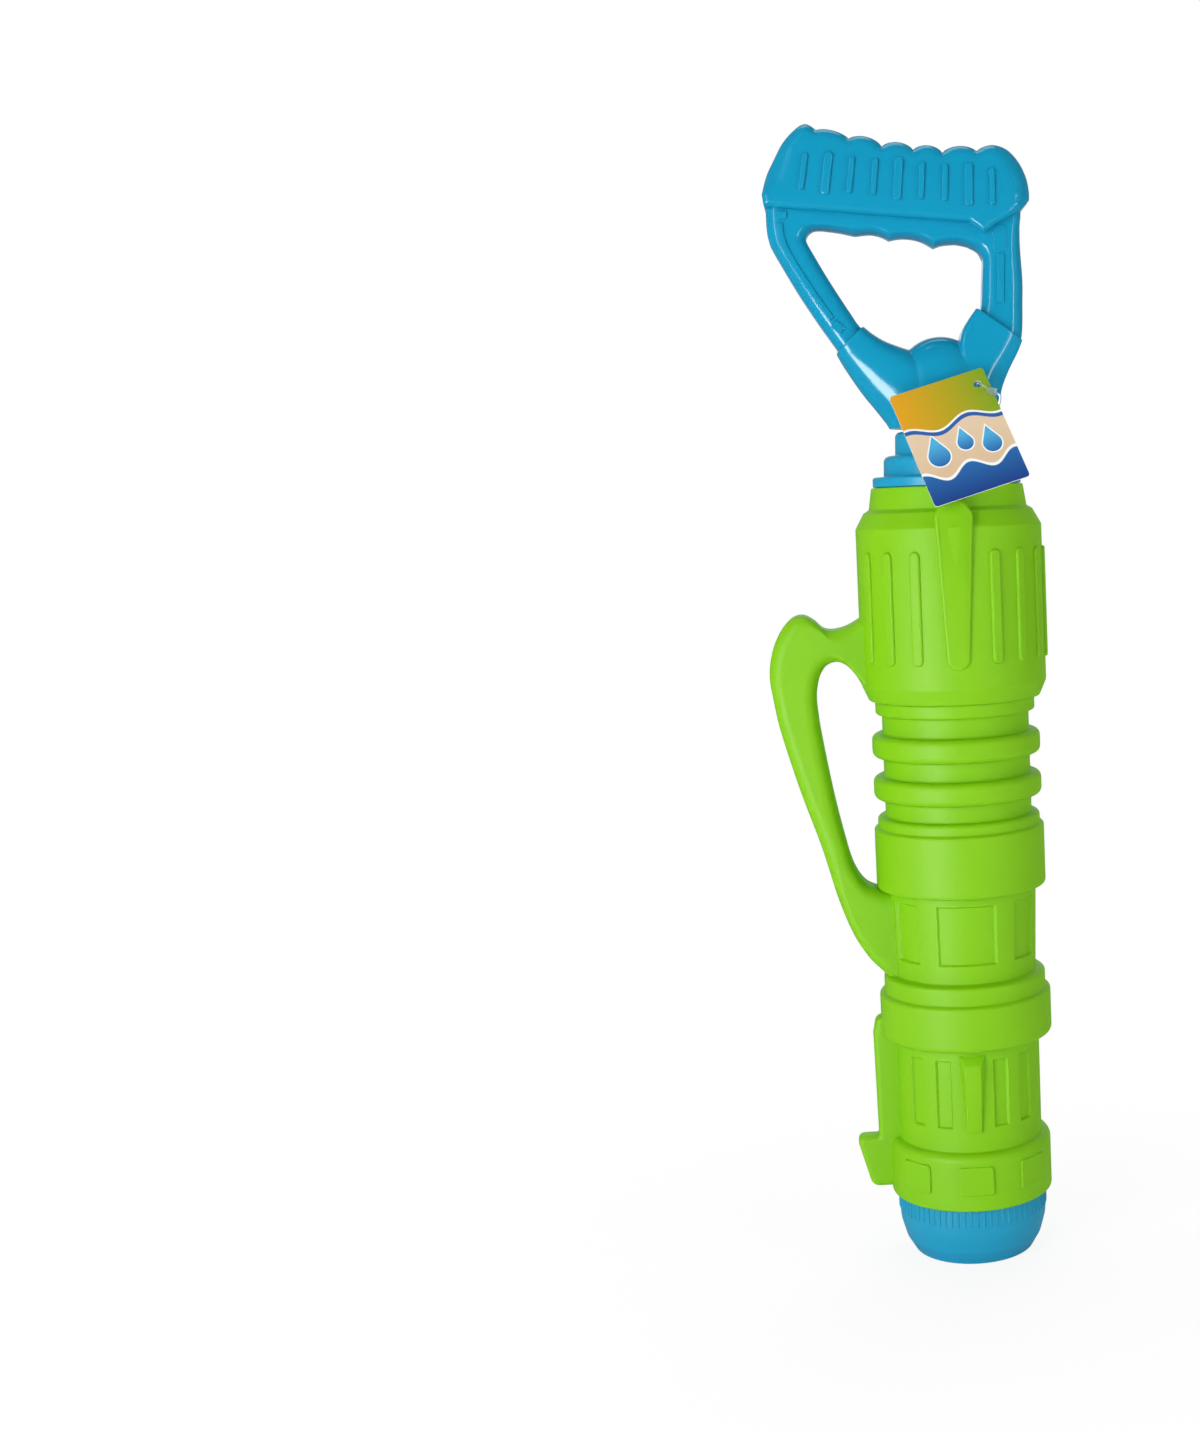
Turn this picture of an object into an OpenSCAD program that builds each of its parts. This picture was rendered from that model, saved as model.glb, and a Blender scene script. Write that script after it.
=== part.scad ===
// Pump action water squirter, standing on its nozzle cap.
// Millimetres. Origin at the centre of the cap's end face, +Z along the barrel to the handle.
// The front is -Y. Both handles lie in the XZ plane, and the side handle is at -X.

/* [Barrel] */
// Radius of the plain necks between the bands
neck_r = 32.2; // [31.9:0.1:33]
// Radius of the ribbed head
head_r = 40.4; // [39.5:0.1:41.5]
// Radius of the collar round the nozzle cap
collar_r = 35.9; // [35.7:0.1:37]
// Radius of the two broad bands
band_r = 37.7; // [37:0.1:38.5]
// Radius of the two round rings below the head
ring_r = 36.9; // [36:0.1:38]
// Radius of the low steps beside the bands and the head
step_r = 35.4; // [35:0.1:35.8]
// Wall of the moulded barrel
wall = 2; // [1.7:0.1:2.2]
// Height of the barrel's top rim
barrel_top = 340; // [339:0.5:342]
// How far raised ribs and panels stand proud
relief = 1.2; // [0.8:0.1:1.6]
// Depth of the recessed windows and slots
recess = 0.8; // [0.5:0.1:1]

/* [Side handle] */
// Thickness of the side handle, front to back
side_t = 22; // [18:1:26]
// Thickness of the fin and its hook
fin_t = 10; // [6:1:14]

/* [Pump] */
// Bore radius of the pump tube
bore_r = 22.6; // [22.4:0.1:22.8]
// Wall of the pump tube
tube_wall = 1.8; // [1.5:0.1:1.8]
// Radius of the plunger rod
rod_r = 9; // [8.6:0.1:9.2]
// Wall of the plunger rod
rod_wall = 2; // [1.5:0.1:2.5]

/* [Nozzle cap] */
// Radius of the cap's rim
cap_r = 33; // [32.6:0.1:33.2]
// Radius of the flat end that the squirter stands on
cap_end_r = 26; // [24:0.5:27]
// Diameter of the water outlet
outlet_d = 4.4; // [3:0.2:6]
// Number of knurls round the rim
knurls = 72; // [48:4:90]

/* [Handle] */
// Half depth of the D-shaped frame
frame_d = 9.5; // [9:0.5:11]
// Half depth of the yoke's sockets
yoke_d = 12.5; // [12:0.5:14]
// Half depth of the grip
grip_d = 14.5; // [13.5:0.5:16]
// Radius of the ball in the middle of the yoke
ball_r = 16; // [15:0.5:16]
// Wall of the handle and grip halves
half_wall = 2.4; // [2:0.1:2.8]

/* [Hang tag] */
// Width of the card
tag_w = 42; // [36:1:44]
// Length of the card
tag_l = 54; // [48:1:56]
// Thickness of the card
tag_t = 0.6; // [0.4:0.1:0.8]

/* [Hidden] */
$fn = 96;

GREEN = "#8CCB24";
BLUE = "#1F9CCB";
WHITE = "#E9ECEB";
RUBBER = "#2B2B2D";
STEEL = "#B9BCC0";

// Fits between pieces
play = 0.05;
gap = 0.35;
// More than enough to cut right through
past = 60;

// Barrel outline from the collar up: [radius, height, edge radius]
head_foot = 248.3;
head_top = 322.5;
BARREL = [
    [collar_r, 27, 1.2], [collar_r, 51.6, 3.4],
    [neck_r - 0.2, 52.6, 0], [neck_r, 97.8, 0],
    [band_r + 0.3, 98.3, 2], [band_r + 0.3, 117.5, 1.4],
    [step_r + 0.4, 118.5, 0], [step_r + 0.4, 126, 1.4],
    [neck_r - 0.5, 127, 0], [neck_r + 0.7, 164.6, 0],
    [band_r - 0.3, 165, 1.4], [band_r - 0.3, 191.5, 1.4],
    [step_r + 0.3, 192.4, 0], [step_r + 0.3, 196.8, 1.4],
    [neck_r, 197.3, 0], [neck_r, 204.6, 0],
    [ring_r, 204.6, 3], [ring_r, 214.8, 3],
    [neck_r, 214.8, 0], [neck_r, 223, 0],
    [ring_r, 223, 3], [ring_r, 233.4, 3],
    [neck_r, 233.4, 0], [neck_r, 241.8, 0],
    [step_r - 0.5, 242.1, 1], [step_r - 0.5, 247.5, 0],
    [head_r - 3, head_foot, 1], [head_r, 255, 4],
    [head_r - 0.1, head_top, 1.5], [head_r - 3.8, 329.2, 0],
    [neck_r + 2, 330.7, 0], [neck_r + 0.6, barrel_top, 0]
];

// Nozzle end of the barrel
floor_z = [30.8, 33];
rim_recess_r = collar_r - 1.7;

// Raised ribs on the head, as angles from the front
RIB_ANGLES = [24.5, 43.5, 62.5, 81.5, -24.5, -43.5, -62.5];
rib_w = 5.2;
rib_z = [265, 313];
// Long tab on the head: height, width at each end, and how far out it stands
tab_z = [263, 333];
tab_w = [8.4, 16.6];
tab_r = head_r + 2.2;
// Windows: [angle from the front, half angle]
WINDOWS = [[0, 23], [53, 12.8], [-53, 12.8]];
window_z = [135, 161];
// Slots round the lower section
SLOT_ANGLES = [-47, -23, 23, 47];
slot_half = 6.2;
slot_z = [63, 93];
// Wedge between the slots
wedge_z = [61.5, 96];
wedge_w = [6.2, 12.4];
wedge_out = [1.4, 3.6];
// Raised panels round the collar
PANEL_ANGLES = [0, 45, 135, 180, 225, 315];
panel_half = 13.6;
panel_z = [34.3, 47.3];

// Side handle: edge away from the barrel, then the edge round the hand gap
SIDE_OUTER = [
    [-36, 288], [-42.6, 283.1], [-52.3, 279.3], [-58.5, 281.4], [-65.4, 286.6], [-73, 281],
    [-78.2, 273.2], [-80, 262], [-76, 235.4], [-68.9, 209.9], [-60.8, 185], [-54.8, 162.7],
    [-48.8, 146.2], [-42.2, 135], [-30, 121]
];
SIDE_INNER = [
    [-30, 163.6], [-36.5, 165], [-42.4, 167.8], [-47.1, 175.8], [-50.2, 186.7], [-55.2, 211.9],
    [-58.6, 234.7], [-60.2, 248.4], [-57.4, 262.7], [-51.1, 266], [-45, 263], [-39.2, 253.6],
    [-34, 246]
];
side_edge = 2;

// Fin and hook below the side handle: [x, height, edge radius]
FIN = [
    [-28, 107], [-40, 107, 4], [-41.8, 100, 6], [-41.2, 52.2, 1], [-50.8, 52.2, 2.2],
    [-44.6, 29.4, 3], [-30, 29.4]
];

// Pump heights, at rest with the handle pushed in
tube_r = bore_r + tube_wall;
tube_z = [20, 336];
base_z = [12, 36];
base_neck_r = 26.5;
base_flange_r = 29.6;
outlet_chamber_r = 19;
piston_z = [21.5, 41.5];
piston_r = bore_r - 0.35;
seal_section_r = 1.6;
seal_r = bore_r - play - seal_section_r;
seal_groove = 3.5;
SEAL_Z = [27.5, 35];
guide_z = [312, 326];
guide_foot = 2.5;
rod_z = [44, 384];
pin_z = 376;
pin_r = 2;
pin_l = 30;
plug_z = [37.7, 68];
screw_shank_r = 2;
piston_screw_z = [24.6, 60];
piston_screw_head_r = 4;
washer_z = [27.8, 28.8];
washer_r = 6.6;

// Nozzle cap: [radius, height, edge radius] of its outside
cap_top = 30.2;
CAP = [
    [cap_end_r, 0, 2.2], [cap_end_r + 4.3, 6, 5], [cap_r - 0.5, 14, 8],
    [cap_r - 0.1, 19, 0], [cap_r - 0.1, cap_top, 0.6]
];
cap_floor = 3;
cap_ledge = 9.6;
gasket_z = [9.75, 11.9];
cap_sleeve_r = base_neck_r + gap;
cap_sleeve_t = 1.8;
cap_skirt_t = 2.6;
cap_pocket_foot = 16;
spout_r = 6;
knurl_z = [19.4, 29];
knurl_r = 0.55;

// Top cap heights: flange, two steps, and the chimney that guides the rod
flange_z = [barrel_top + 0.2, barrel_top + 4.5];
step_z = [barrel_top + 13.5, barrel_top + 23.5];
flange_r = 32;
step1_r = 27.1;
step2_r = 21.8;
cap_wall = 2.2;
guide_r = rod_r + 1.3;
spigot_r = neck_r + 0.6 - wall - 0.1;
spigot_foot = 324;
spigot_wall = 2.4;
lip_h = 4;
lip_t = 1.8;

// Handle frame and its finger opening in the XZ plane: [x, height, edge radius]
yoke_foot = 365;
FRAME_LEFT = [
    [-66, 470, 4], [-71.2, 459, 2], [-72, 445, 5], [-44.5, 397.6, 0],
    [-36.9, 384.2, 30], [-23.3, yoke_foot, 0]
];
FRAME_RIGHT = [
    [23.3, yoke_foot, 0], [24, 376, 14], [34.3, 400.6, 2], [35.3, 424, 40], [34.7, 443, 20],
    [35.3, 455, 3], [31, 466, 4]
];
// Edge of the opening under the bar, in runs that meet in cusps between the fingers
FINGER_RUNS = [
    [[-55.9, 445.4], [-54.5, 448], [-52, 449.3], [-48.6, 449.4], [-41.9, 448.3], [-35.3, 446.7]],
    [[-35.3, 446.7], [-28.5, 447.1], [-24, 446], [-20.9, 444.3]],
    [[-20.9, 444.3], [-16.8, 445], [-11.8, 444.8], [-6.8, 443.4], [-2, 440.6]],
    [[-2, 440.6], [1.6, 441.7], [7.5, 442], [12.6, 440.9], [16.7, 438.3], [18.7, 435], [18.1, 425.1]]
];
// The rest of its edge, down the right leg, over the yoke and up the left leg
OPENING_FOOT = [
    [17.1, 414.2], [14.9, 413.8], [11.3, 410.2], [8.5, 405.2], [7.2, 402.8],
    [1.6, 403.4], [-4, 403], [-9.6, 401.5], [-13.6, 398.9], [-20.4, 400.2], [-26.3, 403.3],
    [-33, 407.7], [-43.1, 421.5], [-52.9, 438.3], [-55.2, 442.9]
];

// Yoke sockets that the frame's legs run into
LEFT_SOCKET = [
    [-33, 408.4, 1], [-45.2, 397.2, 1], [-36.9, 384.2, 30], [-23.3, 365.4, 0], [-6, 366, 0],
    [-6, 396, 0], [-13.6, 398.9, 4], [-20.4, 400.2, 10]
];
RIGHT_SOCKET = [
    [14.9, 414.4, 2], [8.6, 406, 5], [7.4, 400, 8], [10.4, 390, 6], [4, 366, 0], [23.3, 365.4, 0],
    [24, 376, 14], [34.9, 401, 1]
];
// Hollows in the legs and the bar: [x, height, width, length, lean]
HOLLOWS = [[-52, 424, 11, 46, -30], [26, 427, 11, 46, 1], [-17, 456, 9, 76, 94]];
BALL = [-1, 0, 387.4];
neck_z = [yoke_foot, 372, 388];
NECK_R = [22.4, 22.8, 14];
socket_r = 13;

// Grip outline: lower edge, then the scalloped top
GRIP_LOW = [
    [-60.7, 490.3], [-67.5, 480.2, 12], [-72.1, 472.1, 10], [-74, 462, 4], [-72.6, 459.8, 1],
    [13.7, 451.7, 2], [19.5, 446.8, 1.5], [25.6, 450, 2], [36, 454.9, 2], [39.8, 459.5, 2],
    [39.4, 466, 8], [37.5, 474, 6], [32.8, 479.1]
];
GRIP_CUSPS = [
    [32.8, 479.1], [17.6, 480.2], [3, 480.1], [-9.2, 481.3], [-22.5, 482.8], [-36.5, 486.1],
    [-49.9, 490.4], [-60.7, 490.3]
];
grip_rise = 2.1;
// Ribs across the grip: [x, middle height, length, width]
GRIP_RIBS = [for (i = [0:8]) [
    -55.8 + 9.83 * i, 471.8 - 1.02 * i, i % 3 == 1 ? 17.5 : 15, i % 3 == 1 ? 3.4 : 2.2
]];
rib_lean = [11, -0.5];
grip_rib_h = 1;

// Screws that go in from the back: [x, height, depth of the face there]
FRAME_SCREWS = [
    [-57.5, 431, frame_d], [26, 427, frame_d], [-29, 391, yoke_d], [21, 397, yoke_d]
];
GRIP_SCREWS = [[-50, 478, grip_d], [-12, 474, grip_d], [27, 471.5, grip_d]];
screw_r = 1.5;
screw_head_r = 3;
screw_head_h = 2.2;
screw_sink = 0.8;
screw_tip = -5.5;
boss_r = 3.8;
// Cross recesses in the screws' heads: length, width and depth
SCREW_CROSS = [3.6, 0.8, 1];
PISTON_SCREW_CROSS = [4.4, 1, 1.6];

// Hang tag: where its middle lies, and how it leans in front of the yoke
TAG_AT = [4.1, -31.1, 359.7];
tag_tilt = 26;
tag_turn = 17.8;
TAG_HOLE = [16.1, 20.2];
tag_hole_r = 1.6;
tag_corner = 1.5;
// Clear tie: a loop round the rod that runs up behind the card, through its hole and its lock,
// and back round the card's edge. Points on the card are [across, along, out] from the hole.
tie_r = 0.5;
tie_ring_r = 10.4;
tie_z = 364.25;
TIE_ARC = [for (i = [0:10]) 20 + 23 * i];
TIE_UP = [[6, -14.2, tie_z], [15.6, -18.4, tie_z], [15.2, -20, 366.5], [14.4, -20.2, 374]];
TIE_OVER = [[0, 0, -1.2], [0, 0, 1.7], [4, -5.9, 2], [6.6, -7.4, 0.8], [6.8, -9, -1.4]];
TIE_DOWN = [[20.5, -18.8, 368], [18.6, -15.8, tie_z]];
lock_size = [4.4, 3.2, 1.6];

// Plain geometry helpers
function unit(v) = v / norm(v);
function xy(p) = [p[0], p[1]];
function radius_of(p) = len(p) > 2 ? p[2] : 0;

// Points of a round corner at p, between neighbours a and b
function corner(a, p, b, r, n) =
    r == 0 ? [p] :
    let (
        u = unit(a - p),
        v = unit(b - p),
        half = acos(u * v) / 2,
        d = min(r / tan(half), 0.48 * norm(a - p), 0.48 * norm(b - p)),
        rr = d * tan(half),
        c = p + unit(u + v) * rr / sin(half),
        s = p + u * d - c,
        e = p + v * d - c,
        a0 = atan2(s[1], s[0]),
        sweep = (atan2(e[1], e[0]) - a0 + 540) % 360 - 180
    )
    [for (i = [0:n]) c + rr * [cos(a0 + sweep * i / n), sin(a0 + sweep * i / n)]];

// An outline with its corners rounded, from [x, y, edge radius] rows
function rounded(pts, n = 4) =
    let (m = len(pts))
    [for (i = [0:m - 1]) each corner(
        xy(pts[(i + m - 1) % m]), xy(pts[i]), xy(pts[(i + 1) % m]), radius_of(pts[i]), n
    )];

// The outline moved sideways by d: outwards on a counter-clockwise loop
function normal(a, b) = let (u = unit(b - a)) [u[1], -u[0]];
function moved(pts, d, closed = true) =
    let (m = len(pts))
    [for (i = [0:m - 1])
        let (
            first = !closed && i == 0,
            last = !closed && i == m - 1,
            p = xy(pts[i]),
            n1 = first ? normal(p, xy(pts[1])) : normal(xy(pts[(i + m - 1) % m]), p),
            n2 = last ? n1 : normal(p, xy(pts[(i + 1) % m]))
        )
        p + d * (n1 + n2) / (1 + n1 * n2)
    ];

// A smooth curve through the points
function spline(pts, n = 5) =
    let (m = len(pts))
    [for (i = [0:m - 2])
        let (a = pts[max(i - 1, 0)], b = pts[i], c = pts[i + 1], d = pts[min(i + 2, m - 1)])
        for (j = [0:(i == m - 2 ? n : n - 1)])
            let (t = j / n)
            0.5 * (2 * b + (c - a) * t + (2 * a - 5 * b + 4 * c - d) * t * t
                + (3 * b - a - 3 * c + d) * t * t * t)
    ];

// A row of shallow arches that meet in cusps; each rises to the left of its run
function arches(cusps, rise, n = 5) =
    [for (i = [0:len(cusps) - 2])
        let (a = cusps[i], b = cusps[i + 1])
        for (j = [0:n - 1])
            let (t = j / n)
            a + (b - a) * t - normal(a, b) * rise * 4 * t * (1 - t)
    ];

// The side handle's outline, drawn in by d
function side_outline(d) = concat(
    spline(moved(SIDE_OUTER, -d, closed = false)),
    spline(moved(SIDE_INNER, -d, closed = false))
);
FRAME = rounded(concat(FRAME_LEFT, FRAME_RIGHT));
OPENING = concat(
    [for (run = FINGER_RUNS) let (pts = spline(run, 3)) for (i = [0:len(pts) - 2]) pts[i]],
    [FINGER_RUNS[3][6]],
    OPENING_FOOT
);
GRIP = let (low = rounded(GRIP_LOW)) concat(
    [for (i = [0:len(low) - 2]) low[i]],
    arches(GRIP_CUSPS, -grip_rise)
);
// The hollow in the grip, under the scallops' cusps
GRIP_HOLLOW = moved(concat(
    [for (i = [0:len(GRIP_LOW) - 2]) xy(GRIP_LOW[i])],
    [for (i = [0:len(GRIP_CUSPS) - 2]) GRIP_CUSPS[i]]
), -half_wall);

// A plate in the XZ plane from y = 0 to the front, and one centred on the plane
module front_plate(depth) rotate([90, 0, 0]) linear_extrude(depth) children();
module mid_plate(depth) translate([0, depth / 2, 0]) front_plate(depth) children();

// Something on the front, turned round the barrel by an angle and stood out to a radius
module on_front(angle, r0, r1)
    rotate([0, 0, angle]) translate([0, -r0, 0]) front_plate(r1 - r0) children();

module ring(r, r_in, z) translate([0, 0, z[0]]) difference() {
    cylinder(r = r, h = z[1] - z[0]);
    translate([0, 0, -1]) cylinder(r = r_in, h = z[1] - z[0] + 2);
}

module rod(r, z) translate([0, 0, z[0]]) cylinder(r = r, h = z[1] - z[0]);

// Two crossed slots, centred on the face that they are cut from
module cross_recess(size) for (a = [0, 90])
    rotate([0, 0, a]) cube([size[0], size[1], 2 * size[2]], center = true);

// A bar with round ends, standing up
module bar(w, z) {
    translate([-w / 2, z[0] + w / 2]) square([w, z[1] - z[0] - w]);
    translate([0, z[0] + w / 2]) circle(w / 2);
    translate([0, z[1] - w / 2]) circle(w / 2);
}

// A panel on a round wall: half angle, radii and heights
module wall_panel(angle, half, r0, r1, z)
    rotate([0, 0, angle - 90 - half]) rotate_extrude(angle = 2 * half)
        polygon([[r0, z[0]], [r1, z[0]], [r1, z[1]], [r0, z[1]]]);

// Front and back of the barrel carry the same relief
module front_and_back() {
    children();
    mirror([0, 1, 0]) children();
}

module barrel_relief() {
    for (a = RIB_ANGLES)
        on_front(a, head_r - 1, head_r + relief) bar(rib_w, rib_z);
    on_front(0, head_r - 9, tab_r) polygon(rounded([
        [-tab_w[0] / 2, tab_z[0], 3.5], [tab_w[0] / 2, tab_z[0], 3.5],
        [tab_w[1] / 2, tab_z[1] - 6, 20], [tab_w[1] / 2 - 2, tab_z[1], 6],
        [-tab_w[1] / 2 + 2, tab_z[1], 6], [-tab_w[1] / 2, tab_z[1] - 6, 20]
    ]));
    intersection() {
        on_front(0, neck_r - 1, neck_r + past / 2) polygon([
            [-wedge_w[0] / 2, wedge_z[0]], [wedge_w[0] / 2, wedge_z[0]],
            [wedge_w[1] / 2, wedge_z[1]], [-wedge_w[1] / 2, wedge_z[1]]
        ]);
        rotate([0, 0, 90]) mid_plate(past) polygon([
            [1 - neck_r, wedge_z[0]], [1 - neck_r, wedge_z[1]], [-neck_r, wedge_z[1]],
            [-neck_r - wedge_out[1], wedge_z[1] - 3], [-neck_r - wedge_out[0], wedge_z[0]]
        ]);
    }
}

module barrel_recesses() {
    for (w = WINDOWS)
        wall_panel(w[0], w[1], neck_r - recess, neck_r + past / 4, window_z);
    for (a = SLOT_ANGLES)
        wall_panel(a, slot_half, neck_r - 0.1 - recess, neck_r + past / 4, slot_z);
}

module barrel_cavity() {
    inner = moved(BARREL, -wall, closed = false);
    rotate_extrude() polygon(concat(
        [[0, floor_z[1]], [collar_r - wall, floor_z[1]]],
        [for (i = [1:len(inner) - 1]) inner[i]],
        [[neck_r + 0.6 - wall, barrel_top + 1], [0, barrel_top + 1]]
    ));
}

module barrel_shell() color(GREEN) difference() {
    union() {
        rotate_extrude() polygon(rounded(concat([[0, 27]], BARREL, [[0, barrel_top]]), 3));
        front_and_back() barrel_relief();
        for (a = PANEL_ANGLES)
            wall_panel(a, panel_half, collar_r - 1, collar_r + relief * 0.8, panel_z);
        mid_plate(side_t - 2 * side_edge) polygon(side_outline(0));
        mid_plate(side_t) polygon(side_outline(side_edge));
        mid_plate(fin_t) polygon(rounded(FIN));
    }
    front_and_back() barrel_recesses();
    barrel_cavity();
    mid_plate(side_t - 2 * side_edge - 2 * wall) polygon(side_outline(side_edge + wall));
    rod(rim_recess_r, [0, floor_z[0]]);
    rod(base_neck_r + 0.3, [0, past]);
}

// Closes the barrel and guides the rod
module top_cap() color(BLUE) rotate_extrude() polygon(concat(
    rounded([
        [spigot_r - spigot_wall, spigot_foot], [spigot_r, spigot_foot, 0.8], [spigot_r, flange_z[0]],
        [flange_r, flange_z[0], 0.4], [flange_r, flange_z[1], 1], [step1_r, flange_z[1]],
        [step1_r, step_z[0], 2], [step2_r, step_z[0]], [step2_r, step_z[1], 2],
        [guide_r, step_z[1]]
    ]),
    [
        [guide_r, guide_z[0]], [guide_r + cap_wall, guide_z[0]],
        [guide_r + cap_wall, step_z[1] - cap_wall], [step2_r - cap_wall, step_z[1] - cap_wall],
        [step2_r - cap_wall, step_z[0] - cap_wall], [step1_r - cap_wall, step_z[0] - cap_wall],
        [step1_r - cap_wall, flange_z[1] - cap_wall], [tube_r + 0.2, flange_z[1] - cap_wall],
        [tube_r + 0.2, spigot_foot + lip_h], [tube_r + 0.2 + lip_t, spigot_foot + lip_h],
        [tube_r + 0.2 + lip_t, barrel_top - 2], [spigot_r - spigot_wall, barrel_top - 2]
    ]
));

// Bush that the rod slides and turns in; its foot stops the piston
module rod_guide() color(WHITE) {
    ring(guide_r - play, rod_r + 0.06, guide_z);
    ring(guide_r + cap_wall, rod_r + 0.06, [guide_z[0] - guide_foot, guide_z[0]]);
}

module pump_tube() color(WHITE) ring(tube_r, bore_r, tube_z);

// Carries the pump tube and the nozzle cap's thread; its flange sits on the barrel's floor
module tube_base() color(WHITE) rotate_extrude() polygon([
    [outlet_chamber_r, base_z[0]], [base_neck_r, base_z[0]], [base_neck_r, floor_z[1]],
    [base_flange_r, floor_z[1]], [base_flange_r, base_z[1]], [tube_r + 0.02, base_z[1]],
    [tube_r + 0.02, tube_z[0]], [outlet_chamber_r, tube_z[0]]
]);

module nozzle_gasket() color(RUBBER) ring(base_neck_r - 0.3, outlet_chamber_r + 1, gasket_z);

module nozzle_cap() color(BLUE) difference() {
    union() {
        rotate_extrude() polygon(rounded(concat([[0, 0]], CAP, [[0, cap_top]])));
        for (i = [0:knurls - 1])
            rotate([0, 0, i * 360 / knurls]) translate([cap_r - 0.2, 0, 0]) rod(knurl_r, knurl_z);
    }
    rod(cap_sleeve_r, [cap_ledge, past]);
    difference() {
        rod(outlet_chamber_r + 1, [cap_floor, cap_ledge + 1]);
        rod(spout_r, [0, cap_ledge - 2]);
    }
    ring(cap_r - cap_skirt_t, cap_sleeve_r + cap_sleeve_t, [cap_pocket_foot, past]);
    rod(outlet_d / 2, [-1, past]);
}

module piston() color(WHITE) difference() {
    rod(piston_r, piston_z);
    for (z = SEAL_Z)
        ring(past, seal_r - seal_section_r - play, [z - seal_groove / 2, z + seal_groove / 2]);
    rod(screw_shank_r + 0.3, [0, past]);
    rod(rod_r + 0.3, [plug_z[0] - 0.2, past]);
    rod(washer_r + 0.6, [0, washer_z[1] + 0.2]);
}

module piston_rings() color(RUBBER) for (z = SEAL_Z)
    translate([0, 0, z]) rotate_extrude() translate([seal_r, 0]) circle(seal_section_r);

module plunger_rod() color(BLUE) difference() {
    ring(rod_r, rod_r - rod_wall, rod_z);
    translate([0, 0, pin_z]) rotate([0, 90, 0]) cylinder(r = pin_r + play, h = past, center = true);
}

module rod_plug() color(WHITE) difference() {
    union() {
        rod(rod_r, [plug_z[0], rod_z[0]]);
        rod(rod_r - rod_wall - play, [rod_z[0], plug_z[1]]);
    }
    rod(screw_shank_r + play, [0, plug_z[1] - 6]);
}

module piston_screw() color(STEEL) difference() {
    union() {
        rod(piston_screw_head_r, [piston_screw_z[0], washer_z[0] - play]);
        rod(screw_shank_r, piston_screw_z);
    }
    translate([0, 0, piston_screw_z[0]]) cross_recess(PISTON_SCREW_CROSS);
}

module piston_washer() color(STEEL) ring(washer_r, screw_shank_r + 0.2, washer_z);

module rod_pin() color(STEEL)
    translate([0, 0, pin_z]) rotate([0, 90, 0]) cylinder(r = pin_r, h = pin_l, center = true);

// Half of the handle without its holes: the frame, the yoke's sockets, ball and neck
module handle_form() difference() {
    union() {
        front_plate(frame_d) polygon(FRAME);
        front_plate(yoke_d) polygon(rounded(LEFT_SOCKET));
        front_plate(yoke_d) polygon(rounded(RIGHT_SOCKET));
        intersection() {
            union() {
                translate(BALL) sphere(ball_r);
                rotate_extrude() polygon([
                    [0, neck_z[0]], [NECK_R[0], neck_z[0]], [NECK_R[1], neck_z[1]],
                    [NECK_R[2], neck_z[2]], [0, neck_z[2]]
                ]);
            }
            translate([-past, -past, yoke_foot]) cube([2 * past, past, past]);
        }
    }
    translate([0, 1, 0]) front_plate(past) polygon(OPENING);
}

module screw_holes(screws, r, from, to) for (s = screws)
    translate([s[0], from, s[1]]) rotate([-90, 0, 0]) cylinder(r = r, h = to - from);

// Shank room in both halves, and the heads' seats in the rear ones
module screw_room(screws) {
    screw_holes(screws, screw_r + play, screw_tip - 0.3, past);
    for (s = screws)
        translate([s[0], s[2] - screw_sink - screw_head_h - play, s[1]]) rotate([-90, 0, 0])
            cylinder(r = screw_head_r + 0.2, h = past);
}

module handle_half() difference() {
    union() {
        difference() {
            handle_form();
            for (h = HOLLOWS)
                translate([h[0], 1, h[1]]) rotate([0, h[4], 0])
                    front_plate(frame_d - half_wall + 1) bar(h[2], [-h[3] / 2, h[3] / 2]);
        }
        screw_holes(FRAME_SCREWS, boss_r, -frame_d + 1, 0);
        intersection() {
            rod(socket_r, [yoke_foot, rod_z[1] + 4]);
            translate([-past, -yoke_d + 1, 0]) cube([2 * past, yoke_d - 1, 2 * barrel_top]);
        }
    }
    rod(rod_r + play, [0, rod_z[1] + 0.5]);
    translate([0, 0, pin_z]) rotate([0, 90, 0])
        cylinder(r = pin_r + play, h = pin_l + 0.4, center = true);
}

module grip_half() difference() {
    union() {
        difference() {
            front_plate(grip_d) polygon(GRIP);
            translate([0, 1, 0]) front_plate(grip_d - half_wall + 1) polygon(GRIP_HOLLOW);
        }
        screw_holes(GRIP_SCREWS, boss_r, -grip_d + 1, 0);
        for (i = [0:len(GRIP_RIBS) - 1]) {
            b = GRIP_RIBS[i];
            lean = rib_lean[0] + (rib_lean[1] - rib_lean[0]) * i / (len(GRIP_RIBS) - 1);
            translate([b[0], 1 - grip_d, b[1]]) rotate([0, lean, 0])
                front_plate(1 + grip_rib_h) bar(b[3], [-b[2] / 2, b[2] / 2]);
        }
    }
    translate([0, 1, 0]) front_plate(frame_d + 1 + play) polygon(FRAME);
}

module handle_front() color(BLUE) difference() {
    handle_half();
    screw_room(FRAME_SCREWS);
}

module handle_rear() color(BLUE) difference() {
    mirror([0, 1, 0]) handle_half();
    screw_room(FRAME_SCREWS);
}

module grip_front() color(BLUE) difference() {
    grip_half();
    screw_room(GRIP_SCREWS);
}

module grip_rear() color(BLUE) difference() {
    mirror([0, 1, 0]) grip_half();
    screw_room(GRIP_SCREWS);
}

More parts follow.
